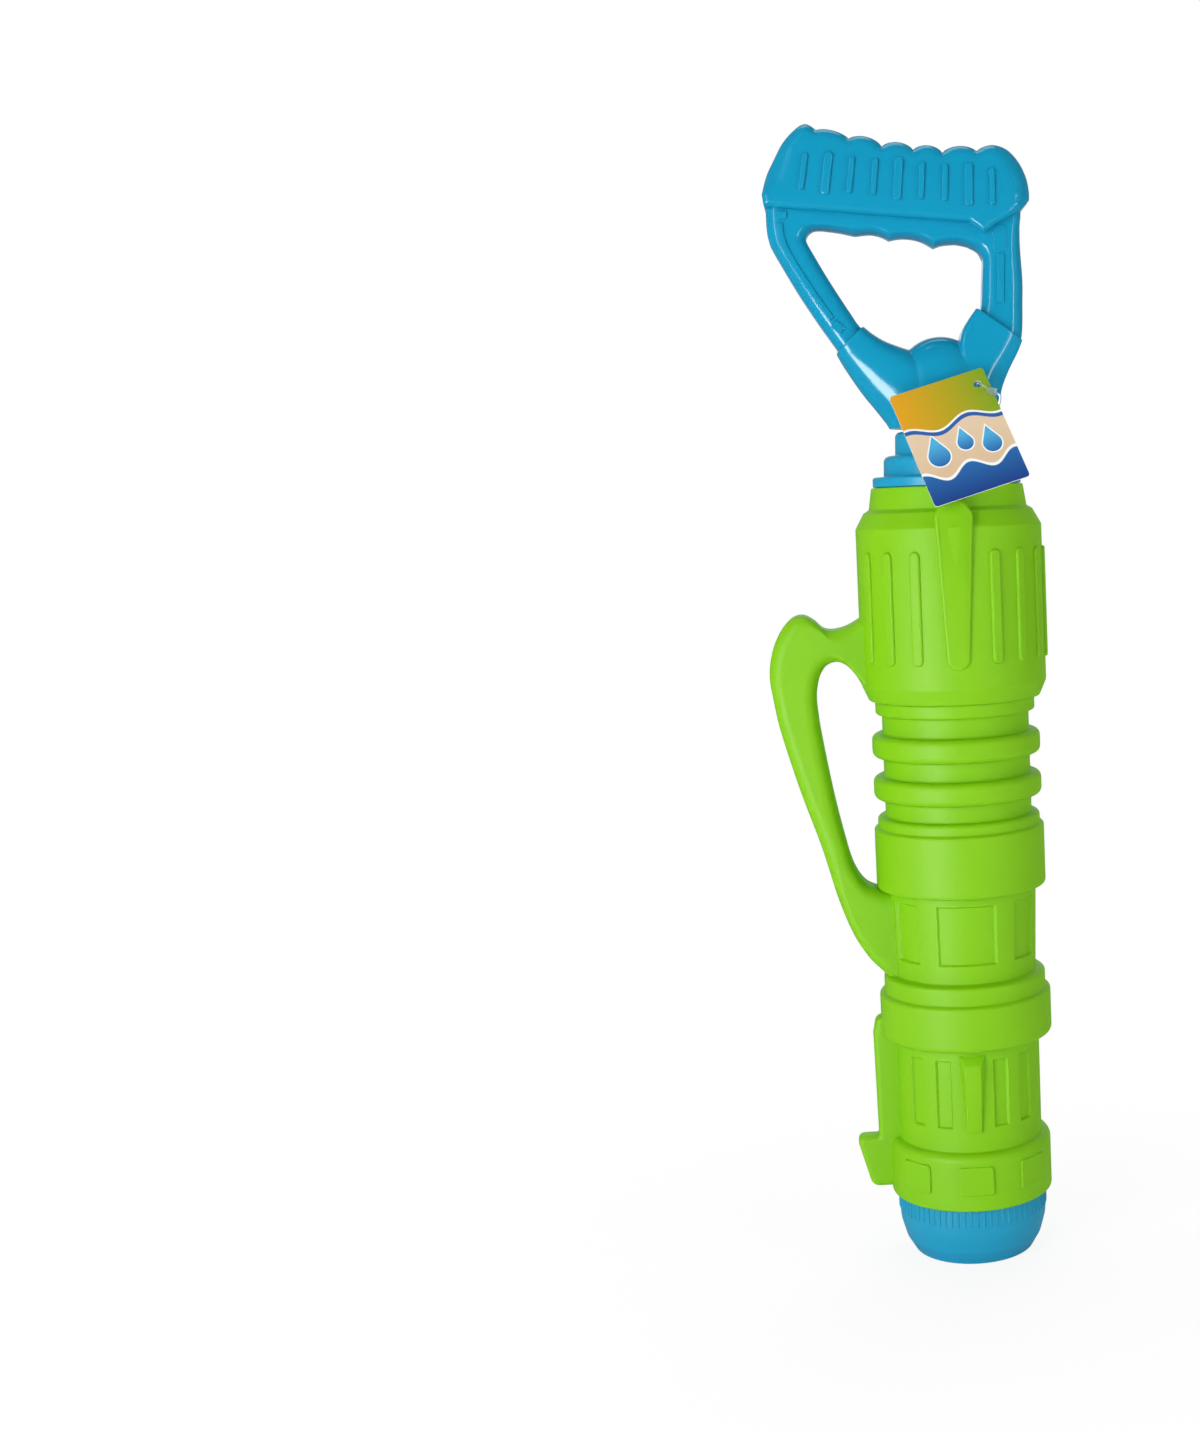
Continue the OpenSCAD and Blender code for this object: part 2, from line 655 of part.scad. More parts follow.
module handle_screws() color(STEEL) for (s = concat(FRAME_SCREWS, GRIP_SCREWS)) {
    seat = s[2] - screw_sink - screw_head_h;
    translate([s[0], 0, s[1]]) rotate([-90, 0, 0]) {
        translate([0, 0, screw_tip]) cylinder(r = screw_r, h = seat - screw_tip + 0.1);
        difference() {
            translate([0, 0, seat]) cylinder(r = screw_head_r, h = screw_head_h);
            translate([0, 0, s[2] - screw_sink]) cross_recess(SCREW_CROSS);
        }
    }
}

// Lays flat things out in the card's own plane: x across it, y along it, z towards the viewer
module tag_plane()
    translate(TAG_AT) rotate([90 - tag_tilt, 0, 0]) rotate([0, 0, tag_turn]) children();

function tag_point(p) =
    let (
        x = p[0] * cos(tag_turn) - p[1] * sin(tag_turn),
        y = p[0] * sin(tag_turn) + p[1] * cos(tag_turn)
    )
    TAG_AT + [
        x,
        y * sin(tag_tilt) - p[2] * cos(tag_tilt),
        y * cos(tag_tilt) + p[2] * sin(tag_tilt)
    ];

module hang_tag() color("#E8D9B8") tag_plane() linear_extrude(tag_t) difference() {
    polygon(rounded([for (s = [[-1, -1], [1, -1], [1, 1], [-1, 1]])
        [s[0] * tag_w / 2, s[1] * tag_l / 2, tag_corner]]));
    translate(TAG_HOLE) circle(tag_hole_r);
}

// A closed tube along the points, with one ring of corners at each
module loop_tube(pts, r, sides) {
    m = len(pts);
    rings = [for (i = [0:m - 1])
        let (
            t = unit(pts[(i + 1) % m] - pts[(i + m - 1) % m]),
            u = unit(cross(t, [0.7, -0.1, 0.7])),
            v = cross(t, u)
        )
        for (k = [0:sides - 1])
            pts[i] + r * (u * cos(k * 360 / sides) + v * sin(k * 360 / sides))
    ];
    polyhedron(rings, [for (i = [0:m - 1], k = [0:sides - 1], half = [0, 1])
        let (
            a = i * sides + k,
            b = i * sides + (k + 1) % sides,
            c = (i + 1) % m * sides + k,
            d = (i + 1) % m * sides + (k + 1) % sides
        )
        half == 0 ? [a, d, b] : [a, c, d]
    ]);
}

module tag_tie() color(WHITE) {
    hole = [TAG_HOLE[0], TAG_HOLE[1], 0];
    loop_tube(concat(
        [for (a = TIE_ARC) [tie_ring_r * cos(a), tie_ring_r * sin(a), tie_z]],
        TIE_UP,
        [for (p = TIE_OVER) tag_point(hole + p)],
        TIE_DOWN
    ), tie_r, 8);
    tag_plane() translate(hole + TIE_OVER[2]) rotate([0, 0, -35]) cube(lock_size, center = true);
}

barrel_shell();
top_cap();
rod_guide();
pump_tube();
tube_base();
nozzle_gasket();
nozzle_cap();
piston();
piston_rings();
plunger_rod();
rod_plug();
piston_screw();
piston_washer();
rod_pin();
handle_front();
handle_rear();
grip_front();
grip_rear();
handle_screws();
tag_tie();
hang_tag();
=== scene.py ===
"""Looks of a pump action water squirter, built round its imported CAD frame.

The tables hold millimetres in the CAD frame: origin at the centre of the nozzle cap's end face,
+Z up the barrel to the plunger handle, front -Y, side handle at -X.
"""

import math
from contextlib import contextmanager

import bmesh
import bpy
import numpy as np
from mathutils import Matrix, Vector
from mathutils.geometry import delaunay_2d_cdt


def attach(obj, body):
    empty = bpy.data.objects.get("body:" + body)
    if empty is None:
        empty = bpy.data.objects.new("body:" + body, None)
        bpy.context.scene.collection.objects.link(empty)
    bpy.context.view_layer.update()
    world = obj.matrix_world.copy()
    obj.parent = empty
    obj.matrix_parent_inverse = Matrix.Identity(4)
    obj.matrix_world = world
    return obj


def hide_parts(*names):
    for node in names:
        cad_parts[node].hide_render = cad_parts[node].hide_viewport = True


bl_info = {
    "name": "Pump Action Water Squirter",
    "version": (1, 0, 0),
    "blender": (4, 5, 0),
    "location": "View3D > Sidebar > Squirter",
    "description": "Builds the squirter's moulded pieces, finishes and studio stage",
    "category": "Add Mesh",
}

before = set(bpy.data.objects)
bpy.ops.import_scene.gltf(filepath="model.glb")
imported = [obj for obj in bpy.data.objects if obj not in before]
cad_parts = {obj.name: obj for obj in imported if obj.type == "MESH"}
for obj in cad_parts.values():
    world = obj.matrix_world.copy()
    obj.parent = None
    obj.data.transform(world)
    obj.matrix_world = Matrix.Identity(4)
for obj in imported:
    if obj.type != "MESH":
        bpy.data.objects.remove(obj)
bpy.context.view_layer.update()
MM = 0.001
# Distance in metres at which a point counts as lying on a cutting plane
ON_PLANE = 1e-7
# The largest share of a section's side that an edge radius may take, and where points lie along its flats
EDGE_LIMIT = 0.92
FLAT_SHARES = (0.05, 0.35, 0.65, 0.95)

# Barrel outline from the collar up: radius, height, edge radius
BARREL = [
    (34.3, 27.0, 0.4), (35.9, 27.0, 1.2), (35.9, 51.6, 3.4), (32.0, 52.6, 0.7),
    (32.2, 97.8, 0.6), (38.0, 98.3, 2.2), (38.0, 117.5, 1.5), (35.8, 118.5, 0.5),
    (35.8, 126.0, 1.6), (31.7, 127.0, 0.6), (32.9, 164.6, 0.5), (37.4, 165.0, 1.6),
    (37.4, 191.5, 1.2), (35.7, 192.4, 0.5), (35.7, 196.8, 1.8), (32.2, 197.3, 0.6),
    (32.2, 204.6, 0.7), (36.9, 204.6, 3.0), (36.9, 214.8, 2.8), (32.2, 214.8, 0.7),
    (32.2, 223.0, 0.7), (36.9, 223.0, 3.0), (36.9, 233.4, 2.8), (32.2, 233.4, 0.7),
    (32.2, 241.8, 0.6), (34.9, 242.1, 1.2), (34.9, 247.5, 0.6), (37.4, 248.3, 1.2),
    (40.4, 255.0, 5.0), (40.3, 322.5, 1.8), (36.6, 329.2, 1.2), (34.2, 330.7, 0.7),
    (32.8, 340.0, 0.8), (31.0, 340.0, 0.3),
]
# Inside of the barrel, from its top rim down to the recess round the nozzle cap
BARREL_INSIDE = [(30.8, 339.6), (29.9, 33.0), (26.8, 33.0), (26.8, 30.8), (34.2, 30.8), (34.2, 27.3)]
# Windows and slots: heights, then the middle and half width of each in degrees
WINDOW_Z = (135.0, 161.0)
WINDOWS = [(0, 23), (53, 12.8), (-53, 12.8), (180, 23), (127, 12.8), (-127, 12.8)]
SLOT_Z = (63.0, 93.0)
SLOTS = [(a, 6.2) for a in (-157, -133, -47, -23, 23, 47, 133, 157)]
# Grid lines across a recess's edge, as distances into it
EDGE_LINES = (-0.7, -0.25, -0.05, 0.15, 0.35, 0.6, 1.1)
# Grid lines round the wall: their spacing, and the least gap to a recess's own lines, in degrees
TURN_STEP = 3
TURN_GAP = 0.9
# Radius of the plain wall that the windows and slots are pressed into
WALL_R = 32.3
# Raised pads on round walls: half width, foot, top and corner radius of the outline, then the radius
# that the pad starts from, the radius of its face and its edge radius
RIB = ((2.5, 265.0, 313.0, 2.45), (39.6, 40.35, 1.0))
PANEL = ((7.7, 34.4, 47.2, 1.6), (35.2, 36.85, 0.5))
KNURL = ((0.52, 18.6, 28.6, 0.5), (32.3, 33.3, 0.45))
# Rows round the barrel: count, first turn and step, in degrees
RIB_ROWS = [(4, 24.5, 19), (3, -24.5, -19), (4, 98.5, 19), (3, -117.5, -19)]
PANEL_ROWS = [(3, -45, 45), (3, 135, 45)]
FRONT_AND_BACK = (2, 0, 180)
# Tongue on the head: right half of its outline as x, height and corner radius; the radius that it starts
# from and its edge radius; its face's radius at the foot, with how far and over what height that rises;
# and where the face bends back at the top, and how fast
TAB_RIGHT = [(4.9, 263.0, 4.8), (8.4, 328.1, 5.5), (4.2, 334.6, 5.0)]
TAB_BASE = 33.2
TAB_EDGE = 1.3
TAB_FACE = (41.4, 1.15, 58.0)
TAB_BEND = (324.0, 0.0375)
# Wedge between the slots: corners of its foot, corners of its top, and its bevel
WEDGE = [
    (-3.2, -33.2, 61.6), (3.2, -33.2, 61.6), (3.4, -31.0, 61.2), (-3.4, -31.0, 61.2),
    (-3.4, -35.5, 92.0), (3.6, -35.5, 92.0), (6.2, -31.0, 96.6), (-6.2, -31.0, 96.6),
]
WEDGE_BEVEL = 0.4

# Side handle: edge away from the barrel and edge round the hand gap, in matching pairs
SIDE_OUTER = [
    (-29, 290), (-38, 285.4), (-45.8, 281.2), (-52, 279.8), (-56.4, 280.8), (-60, 284.1),
    (-64.6, 286.5), (-69.6, 285.2), (-74.8, 279.4), (-78.4, 271.2), (-80, 261), (-78.6, 249),
    (-76, 235.4), (-68.9, 209.9), (-60.8, 185), (-54.8, 162.7), (-48.8, 146.2), (-42.2, 135),
    (-36, 128.3), (-28, 120),
]
SIDE_INNER = [
    (-28, 239), (-34, 246), (-39.2, 253.6), (-42.4, 259.3), (-45.6, 263.4), (-49, 265.6),
    (-52, 265.9), (-54.5, 265), (-56.4, 263.4), (-58.7, 259), (-60.1, 251), (-59.7, 242.5),
    (-58.4, 232), (-54.6, 208.6), (-50.6, 189), (-47.1, 176), (-42.4, 168.2), (-36.5, 165),
    (-32, 164), (-26, 163.2),
]
# Fin with its hook: x, z, edge radius
FIN = [
    (-27, 107, 0), (-40.2, 107, 3.4), (-41.8, 99, 4), (-41.1, 52.6, 0.8), (-51.2, 52.6, 2.8),
    (-44.8, 29.5, 4.2), (-27, 29.5, 0),
]
# Half depths of the side handle and of the fin, and the fin's edge radius
SIDE_DEPTH = 10.9
FIN_DEPTH = 4.95
FIN_EDGE = 2.4

# Nozzle cap outline: radius, height, edge radius
CAP_OUTSIDE = [
    (2.2, 0.0, 0.5), (26.6, 0.0, 0.5), (30.3, 6.2, 7.0), (32.5, 14.0, 12.0), (32.9, 19.0, 6.0),
    (32.9, 30.2, 0.6), (30.4, 30.2, 0.3), (30.4, 16.0, 0.3), (28.65, 16.0, 0.3), (28.65, 30.2, 0.4),
    (26.85, 30.2, 0.3), (26.85, 9.6, 0.3), (20.0, 9.6, 0.3), (20.0, 3.0, 0.4), (6.0, 3.0, 0.4),
    (6.0, 7.6, 0.4), (2.2, 7.6, 0.3),
]

# Top cap outline: radius, height, edge radius
TOP_CAP = [
    (10.3, 312.0, 0.2), (12.5, 312.0, 0.2), (12.5, 361.3, 0.5), (18.8, 361.3, 0.5), (18.8, 351.3, 0.5),
    (24.1, 351.3, 0.5), (24.1, 338.0, 0.5), (28.3, 338.0, 0.3), (28.3, 324.0, 0.3), (30.7, 324.0, 0.5),
    (30.7, 340.2, 0.2), (32.0, 340.2, 0.5), (32.0, 344.5, 1.1), (27.1, 344.5, 0.7), (26.8, 353.5, 2.6),
    (21.8, 353.5, 0.7), (21.5, 363.5, 2.2), (10.3, 363.5, 0.6),
]

# Handle frame: outer edge and opening edge in matching runs, left leg, bar, right leg, each with its steps
FRAME_RUNS = [
    ([(-36, 385), (-44.9, 399.2), (-52, 409.8), (-59.9, 422.5), (-67.6, 436.3), (-71.1, 443)],
     [(-24, 398), (-34.2, 407.7), (-38.4, 413.9), (-43.1, 421.5), (-48.6, 430.8), (-55.2, 442.9)], 26),
    ([(-71.1, 443), (-72.1, 447.5), (-72.4, 454.1), (-71.6, 461), (-66, 470)],
     [(-55.2, 442.9), (-55.9, 445.4), (-54.5, 448), (-52, 449.3), (-48.6, 449.4)], 18),
    ([(-66, 470), (-37, 469)], [(-48.6, 449.4), (-41.9, 448.3), (-35.3, 446.7)], 9),
    ([(-37, 469), (-21, 468)], [(-35.3, 446.7), (-28.5, 447.1), (-24, 446), (-20.9, 444.3)], 10),
    ([(-21, 468), (-3, 467.3)],
     [(-20.9, 444.3), (-16.8, 445), (-11.8, 444.8), (-6.8, 443.4), (-2, 440.6)], 12),
    ([(-3, 467.3), (18, 466.5)], [(-2, 440.6), (1.6, 441.7), (7.5, 442), (12.6, 440.9)], 10),
    ([(18, 466.5), (31, 466), (35.2, 456), (34.8, 447.8)],
     [(12.6, 440.9), (16.7, 438.3), (18.7, 435)], 16),
    ([(34.8, 447.8), (34.7, 439.6), (35.3, 426.3), (35.1, 418), (34, 400.9), (29, 390)],
     [(18.7, 435), (18.6, 432), (18.1, 425.1), (17.1, 414.2), (13, 404), (12, 400)], 26),
]
# Half depth of the frame
FRAME_DEPTH = 9.5
# Edge round the opening, soft on the legs and crisp in front of the bar, whose underside curves away:
# shares of the way, radii, and how many times deeper than high the rounding is
FRAME_OPENING_EDGE = [
    (0.0, 0.22, 0.35, 0.68, 0.78, 1.0), (5.2, 5.2, 2.5, 2.5, 5.2, 5.2), (1.0, 1.0, 3.0, 3.0, 1.0, 1.0)]
# Sockets of the yoke, from the rim to the hub: pairs of points on their two edges
LEFT_SOCKET = [
    ((-45.3, 397.4), (-33.2, 408.6)), ((-42.6, 392.4), (-29.4, 405.4)), ((-38.8, 386.2), (-24.6, 402.4)),
    ((-34.4, 379.6), (-18.8, 400.0)), ((-29.6, 373.4), (-12.6, 397.6)), ((-25.4, 367.8), (-6.0, 393.6)),
    ((-21.8, 363.4), (0.0, 386.0)), ((-12.0, 362.0), (4.0, 376.0)),
]
RIGHT_SOCKET = [
    ((14.8, 414.2), (34.1, 400.3)), ((11.6, 409.9), (32.0, 395.4)), ((8.8, 405.4), (29.2, 390.3)),
    ((7.4, 400.0), (26.8, 385.4)), ((7.8, 394.4), (24.6, 379.6)), ((9.4, 389.6), (23.6, 373.0)),
    ((10.0, 382.0), (23.2, 367.0)), ((8.0, 372.0), (22.6, 362.0)),
]
# Left socket from its rim to the hub: share of the way, half depth, ridge's place across, squareness
LEFT_SOCKET_FORM = [(0.1, 11.3, 0.3, 2.9), (0.35, 12.3, 0.3, 2.45), (0.65, 13.4, 0.3, 2.2)]
# Right socket: half depth, slope of its outer side, edge radii from left to right,
# and the ridge's place across: shares of the way from rim to hub, and places from -1 to 1
RIGHT_SOCKET_DEPTH = 12.3
RIGHT_SOCKET_SLOPE = 0.56
RIGHT_SOCKET_EDGES = (2.4, 13.0, 3.0)
RIGHT_SOCKET_RIDGE = [(0.0, 0.29, 0.49, 1.0), (0.56, 0.5, 0.39, 0.15)]
# Height of the yoke's flat foot, and its neck: radius, height, edge radius
YOKE_FOOT = 365.0
YOKE_NECK = [
    (0.0, 362.0, 0.0), (22.5, 362.0, 0.5), (22.6, 369.0, 6.0), (15.0, 384.0, 7.0), (0.0, 388.0, 0.0),
]
# The yoke's parts grow together on a grid of this size, and are then softened: strength and rounds
YOKE_GRID = 0.42
YOKE_SOFT = (0.5, 6)
# Hub: middle, radii, squareness, rows and columns of its mesh, and the size of its poles in radians
HUB_AT = (-1.0, 0.0, 383.4)
HUB_R = (19.6, 14.6, 20.0)
HUB_SQUARENESS = 2.5
HUB_MESH = (49, 96)
HUB_POLE = 0.02
# Trim strips on the handle's legs: depth of the face that they stand on, how far they sink into it, corner
# and edge radius; then line, width and height of each
TRIM_FOOT = -9.4
TRIM_SINK = 0.6
TRIM_CORNER = 0.6
TRIM_EDGE = 0.32
TRIM_LONG = [
    (-66.6, 451.7), (-66.3, 447.0), (-64.4, 440.6), (-58.2, 429.3), (-52.3, 419.9), (-46.6, 411.4),
]
TRIM_LONG_SIZE = (2.5, 0.8)
TRIM_SHORT = [
    ([(-67.3, 455.0), (-63.5, 454.7)], 3.2, 0.8), ([(-46.0, 409.5), (-42.2, 406.3)], 3.8, 0.8),
    ([(25.7, 437.9), (25.6, 448.4)], 6.0, 0.35), ([(25.9, 436.7), (25.1, 415.8)], 3.0, 0.8),
]
# Screws in the back: x and z, and the depth of the face that each one is sunk into
SCREWS_FRAME = [((-57.5, 431), 9.5), ((26, 427), 9.5)]
SCREWS_YOKE = [((-29, 391), 12.4), ((21, 397), 12.4)]
SCREWS_GRIP = [((-50, 478), 14.5), ((-12, 474), 14.5), ((27, 471.5), 14.5)]
# Radius and depth of the well for a screw's head, and width of the seam between two mould halves
WELL_R = 3.4
WELL_DEPTH = 3.0
SEAM_WIDTH = 0.3

# Grip outline in the XZ plane: lower edge with edge radii, the ends' curves, and the finger scallops
GRIP_LOW = [
    (-73.5, 463.0, 0), (-72.9, 458.3, 1.0), (12.8, 449.6, 1.5), (18.9, 445.0, 1.6), (25.4, 449.3, 6),
    (35.2, 454.2, 1.8), (39.1, 458.6, 1.2), (39.2, 461.6, 0),
]
GRIP_RIGHT_END = [
    (39.2, 461.6), (38.2, 467.5), (35.2, 474.2), (30.4, 479.4), (24.8, 481.3), (20.2, 480.6), (17.0, 478.9),
]
GRIP_CUSPS = [(17.0, 478.9), (2.7, 478.6), (-9.5, 480.1), (-22.6, 481.8), (-36.3, 485.3), (-49.8, 489.1)]
GRIP_LEFT_END = [
    (-49.8, 489.1), (-51.8, 490.7), (-54.6, 491.6), (-58.2, 489.8), (-63.6, 484.7), (-67.6, 478.6),
    (-71.6, 471.0), (-73.5, 463.0),
]
# Scallops: rise of each from right to left, steps in each, and a power that makes them fuller
GRIP_RISE = (2.4, 2.4, 2.4, 2.4, 1.6)
SCALLOP_STEPS = 14
SCALLOP_POWER = 0.8
# Longest step along the lower edge
GRIP_LOW_STEP = 1.2
# Edge radii below, along the scallops and round the ends
GRIP_EDGES = (2.6, 5.0, 9.0)
# The edges get rounder above a line, given as its height and its fall to the right, over this rise
GRIP_SOFT_LINE = (452.0, 0.1)
GRIP_SOFT_RISE = (2.0, 12.0)
# Where the ends' own radius comes in: over -x and -z at the left end, over x at the right end
GRIP_LEFT_RUN = (46.0, 66.0)
GRIP_LEFT_RISE = (-490.0, -474.0)
GRIP_RIGHT_RUN = (18.0, 36.0)
# Half depth, height of the crown on each face and the run over which it rises
GRIP_DEPTH = 14.1
GRIP_CROWN = 0.4
GRIP_CROWN_RUN = 9.0
# Points on the faces: x and z that they lie between, and their spacing
GRIP_FIELD_X = (-74, 40)
GRIP_FIELD_Z = (444, 492)
GRIP_FIELD_STEP = 2.5
# Ribs across the grip: line, height, depth of the foot, corner radius as a share of the width, count,
# first height, step, first lean and its step in degrees
GRIP_RIB_LINE = [(0.0, -7.5), (0.0, 7.5)]
GRIP_RIB_HEIGHT = 0.95
GRIP_RIB_FOOT = -14.45
GRIP_RIB_CORNER = 0.46
GRIP_RIB_COUNT = 9
GRIP_RIB_Z = 471.6
GRIP_RIB_STEP = (9.83, 0.0, -1.02)
GRIP_RIB_LEAN = (10.5, -1.25)
# In front and behind: width, first x, and how much larger every third rib is. The ribs behind are all
# narrow, so that they pass between the screws
GRIP_RIB_SIDES = [(2.3, -55.9, (1.5, 1.0, 1.16)), (1.9, -56.5, (1.0, 1.0, 1.0))]

# Card: half width and half height, thickness, corner radius, middle of its back face, lean and turn in
# degrees, and its hole's place and radius
CARD_HALF = (21.0, 27.0)
CARD_THICK = 0.58
CARD_CORNER = 1.4
CARD_AT = (4.1, -31.1, 359.7)
CARD_TILT = 26.0
CARD_TURN = 17.8
CARD_HOLE = (16.1, 20.2)
CARD_HOLE_R = 1.6
# Printed drops on the card: middle, radius, and how far a tip is from the middle in radii
CARD_DROPS = [(-11.0, -6.0, 4.6), (1.5, -3.5, 3.4), (12.0, -7.5, 4.0)]
DROP_TIP = 2.1
# Layers of ink from the ground up: mask, fade, colour where the fade is 0, colour where it is 1
CARD_LAYERS = [
    ("all", "height", "#D9B68F", None), ("sea", "depth", "#173E86", "#2F7FC4"),
    ("foam", "depth", "#F4F6F2", "#F4F6F2"),
    *[row for i in range(len(CARD_DROPS)) for row in (
        (f"halo{i}", "depth", "#F4F6F2", "#F4F6F2"), (f"drop{i}", f"shine{i}", "#1F57A8", "#4FB0DE"))],
    ("header", "width", "#E3A21B", "#7EA61E"), ("ribbon", "width", "#2C5FA9", "#2C5FA9"),
    ("rim", "width", "#F6F4EC", "#F6F4EC"),
]
# Tie: its radius, turns round the rod in degrees, radius and height of that ring, and points up to the
# card, on the card measured from its hole, and back down
TIE_R = 0.48
TIE_ARC = [20 + 23 * i for i in range(11)]
TIE_RING_R = 10.4
TIE_Z = 364.25
TIE_UP = [(6, -14.2, TIE_Z), (15.6, -18.4, TIE_Z), (15.2, -20, 366.5), (14.4, -20.2, 374)]
TIE_OVER = [(0, 0, -1.2), (0, 0, 1.7), (4, -5.9, 2), (6.6, -7.4, 0.8), (6.8, -9, -1.4)]
TIE_DOWN = [(20.5, -18.8, 368), (18.6, -15.8, TIE_Z)]
# A direction that the tie never runs in, from which its sides are found
TIE_ACROSS = (0.7, -0.1, 0.7)
# Lock on the tie: which point on the card it sits at, its size, turn in degrees and edge radius
TIE_LOCK_POINT = 2
TIE_LOCK_SIZE = (4.3, 3.1, 1.5)
TIE_LOCK_TURN = -35
TIE_LOCK_EDGE = 0.55

# Camera: place, turns in degrees, lens, and shift that the photograph's framing needs
CAMERA_AT = (-47.20, -818.64, 334.0)
CAMERA_PITCH = -6.6135
CAMERA_ROLL = -2.1048
CAMERA_TURN = -3.3
CAMERA_LENS = 47.174
CAMERA_SHIFT = -0.24757
# Level of the world's light. The studio is white behind and above, and dim on the camera's side: where it
# starts to brighten, where it is white, and its dim level, for the light it gives and for its reflections
WORLD_LEVEL = 1.2
ROOM_LIGHT_SIDE = (0.0, 0.95, 0.31)
ROOM_LIT = (0.35, 0.95, 0.18)
ROOM_SEEN = (0.91, 0.995, 0.13)
# Floor in metres: radius; from where to where its own white comes in round the foot, and its share there;
# and how far back its reflection turns white
FLOOR_R = 6.0
FLOOR_FADE = (0.04, 0.26, 0.88)
FLOOR_WHITE = (3.5, 5.8)
# Lamps in metres and watts: name, place, size, power, whether it lights and whether it shows in reflections
LAMP_AIM = (0.0, 0.0, 0.3)
LAMPS = [
    ("Key Softbox", (-1.08, -1.2, 0.6), (0.9, 1.3), 18.6, True, False),
    ("Fill Softbox", (1.3, -0.75, 0.35), (0.9, 1.2), 8.8, True, False),
    ("Back Softbox", (0.55, 1.5, 0.5), (1.0, 1.2), 9.0, True, False),
    ("Top Softbox", (-0.1, 0.25, 1.5), (0.9, 0.7), 3.4, True, True),
    ("Low Softbox", (-0.32, -0.5, 0.1), (0.24, 0.28), 0.55, True, False),
    ("Low Glint", (-0.353, -0.5, 0.128), (0.24, 0.28), 3.0, False, True),
    ("Left Glint", (-0.95, -0.95, 0.5), (0.1, 0.8), 2.0, False, True),
    ("Right Glint", (0.54, -0.86, 0.3), (0.06, 0.6), 1.4, False, True),
]


def linear(code):
    """An sRGB hex colour as linear red, green, blue and full alpha."""
    parts = [int(code[i:i + 2], 16) / 255 for i in (1, 3, 5)]
    return (*[c / 12.92 if c <= 0.04045 else ((c + 0.055) / 1.055) ** 2.4 for c in parts], 1.0)


def feed(tree, node, links):
    """Fills or links a node's inputs."""
    for socket, value in links.items():
        if isinstance(value, bpy.types.NodeSocket):
            tree.links.new(value, node.inputs[socket])
        else:
            node.inputs[socket].default_value = value


def add_node(tree, kind, links=None, **settings):
    """Adds a node, sets its own settings, then fills or links its inputs."""
    made = tree.nodes.new(kind)
    for name, value in settings.items():
        setattr(made, name, value)
    feed(tree, made, links or {})
    return made


class SquirterSizes(bpy.types.PropertyGroup):
    """Sizes that a user may change, inside what the CAD frame allows."""

    recess: bpy.props.FloatProperty(
        name="Recess Depth", description="Depth of the barrel's windows and slots",
        default=1.15 * MM, min=0.0, max=1.2 * MM, unit="LENGTH", precision=5)
    relief: bpy.props.FloatProperty(
        name="Relief Height", description="How far the head's ribs stand proud",
        default=1.15 * MM, min=0.0, max=1.2 * MM, unit="LENGTH", precision=5)
    side_edge: bpy.props.FloatProperty(
        name="Side Handle Edge", description="Edge radius of the side handle",
        default=5.6 * MM, min=1 * MM, max=9 * MM, unit="LENGTH", precision=5)
    frame_edge: bpy.props.FloatProperty(
        name="Handle Frame Edge", description="Edge radius of the plunger handle's frame",
        default=5.6 * MM, min=1 * MM, max=7 * MM, unit="LENGTH", precision=5)
    knurls: bpy.props.IntProperty(
        name="Knurls", description="Number of grip ridges round the nozzle cap",
        default=72, min=24, max=120)
    parting: bpy.props.FloatProperty(
        name="Parting Line", description="Depth of the seam between moulded halves",
        default=0.22 * MM, min=0.0, max=0.5 * MM, unit="LENGTH", precision=5)


class SquirterColours(bpy.types.PropertyGroup):
    """Colours that a user may change."""

    shell: bpy.props.FloatVectorProperty(
        name="Shell", description="Barrel and side handle", subtype="COLOR", size=4,
        min=0.0, max=1.0, default=linear("#81C408"))
    trim: bpy.props.FloatVectorProperty(
        name="Trim", description="Plunger handle and its grip", subtype="COLOR", size=4,
        min=0.0, max=1.0, default=linear("#0894BA"))
    # Caps colour: the trim's blue lightened, as painted light for the brighter light and sheen on the top
    # cap and nozzle cap
    caps: bpy.props.FloatVectorProperty(
        name="Caps", description="Top cap and nozzle cap", subtype="COLOR", size=4,
        min=0.0, max=1.0, default=linear("#129CC4"))
    card: bpy.props.FloatVectorProperty(
        name="Card", description="Ground of the hang tag's print", subtype="COLOR", size=4,
        min=0.0, max=1.0, default=linear("#EBD9BC"))


# Paths and meshes


def points_of(*axes):
    """Points from their coordinates, axis by axis; a single number holds for every point."""
    return np.stack(np.broadcast_arrays(*axes), axis=1)


def unit(rows):
    """Each row as a vector of length 1."""
    return rows / np.linalg.norm(rows, axis=1)[:, None]


def on_wall(turn, reach, z):
    """Points round the barrel's axis: turn from the front in radians, distance from the axis, height."""
    return points_of(reach * np.sin(turn), -reach * np.cos(turn), z)


def curve_through(points, steps):
    """A smooth curve through the points, with the same number of steps in each stretch."""
    pts = np.array(points, float)
    ends = np.vstack([2 * pts[0] - pts[1], pts, 2 * pts[-1] - pts[-2]])
    rows = []
    for i in range(len(pts) - 1):
        a, b, c, d = ends[i:i + 4]
        for t in np.arange(steps) / steps:
            rows.append(0.5 * (2 * b + (c - a) * t + (2 * a - 5 * b + 4 * c - d) * t ** 2
                               + (3 * b - a - 3 * c + d) * t ** 3))
    return np.array([*rows, pts[-1]])


def respaced(points, count):
    """The path again, as count equal steps along its length."""
    pts = np.array(points, float)
    run = np.concatenate([[0], np.cumsum(np.linalg.norm(np.diff(pts, axis=0), axis=1))])
    at = np.linspace(0, run[-1], count + 1)
    return points_of(*(np.interp(at, run, axis) for axis in pts.T))


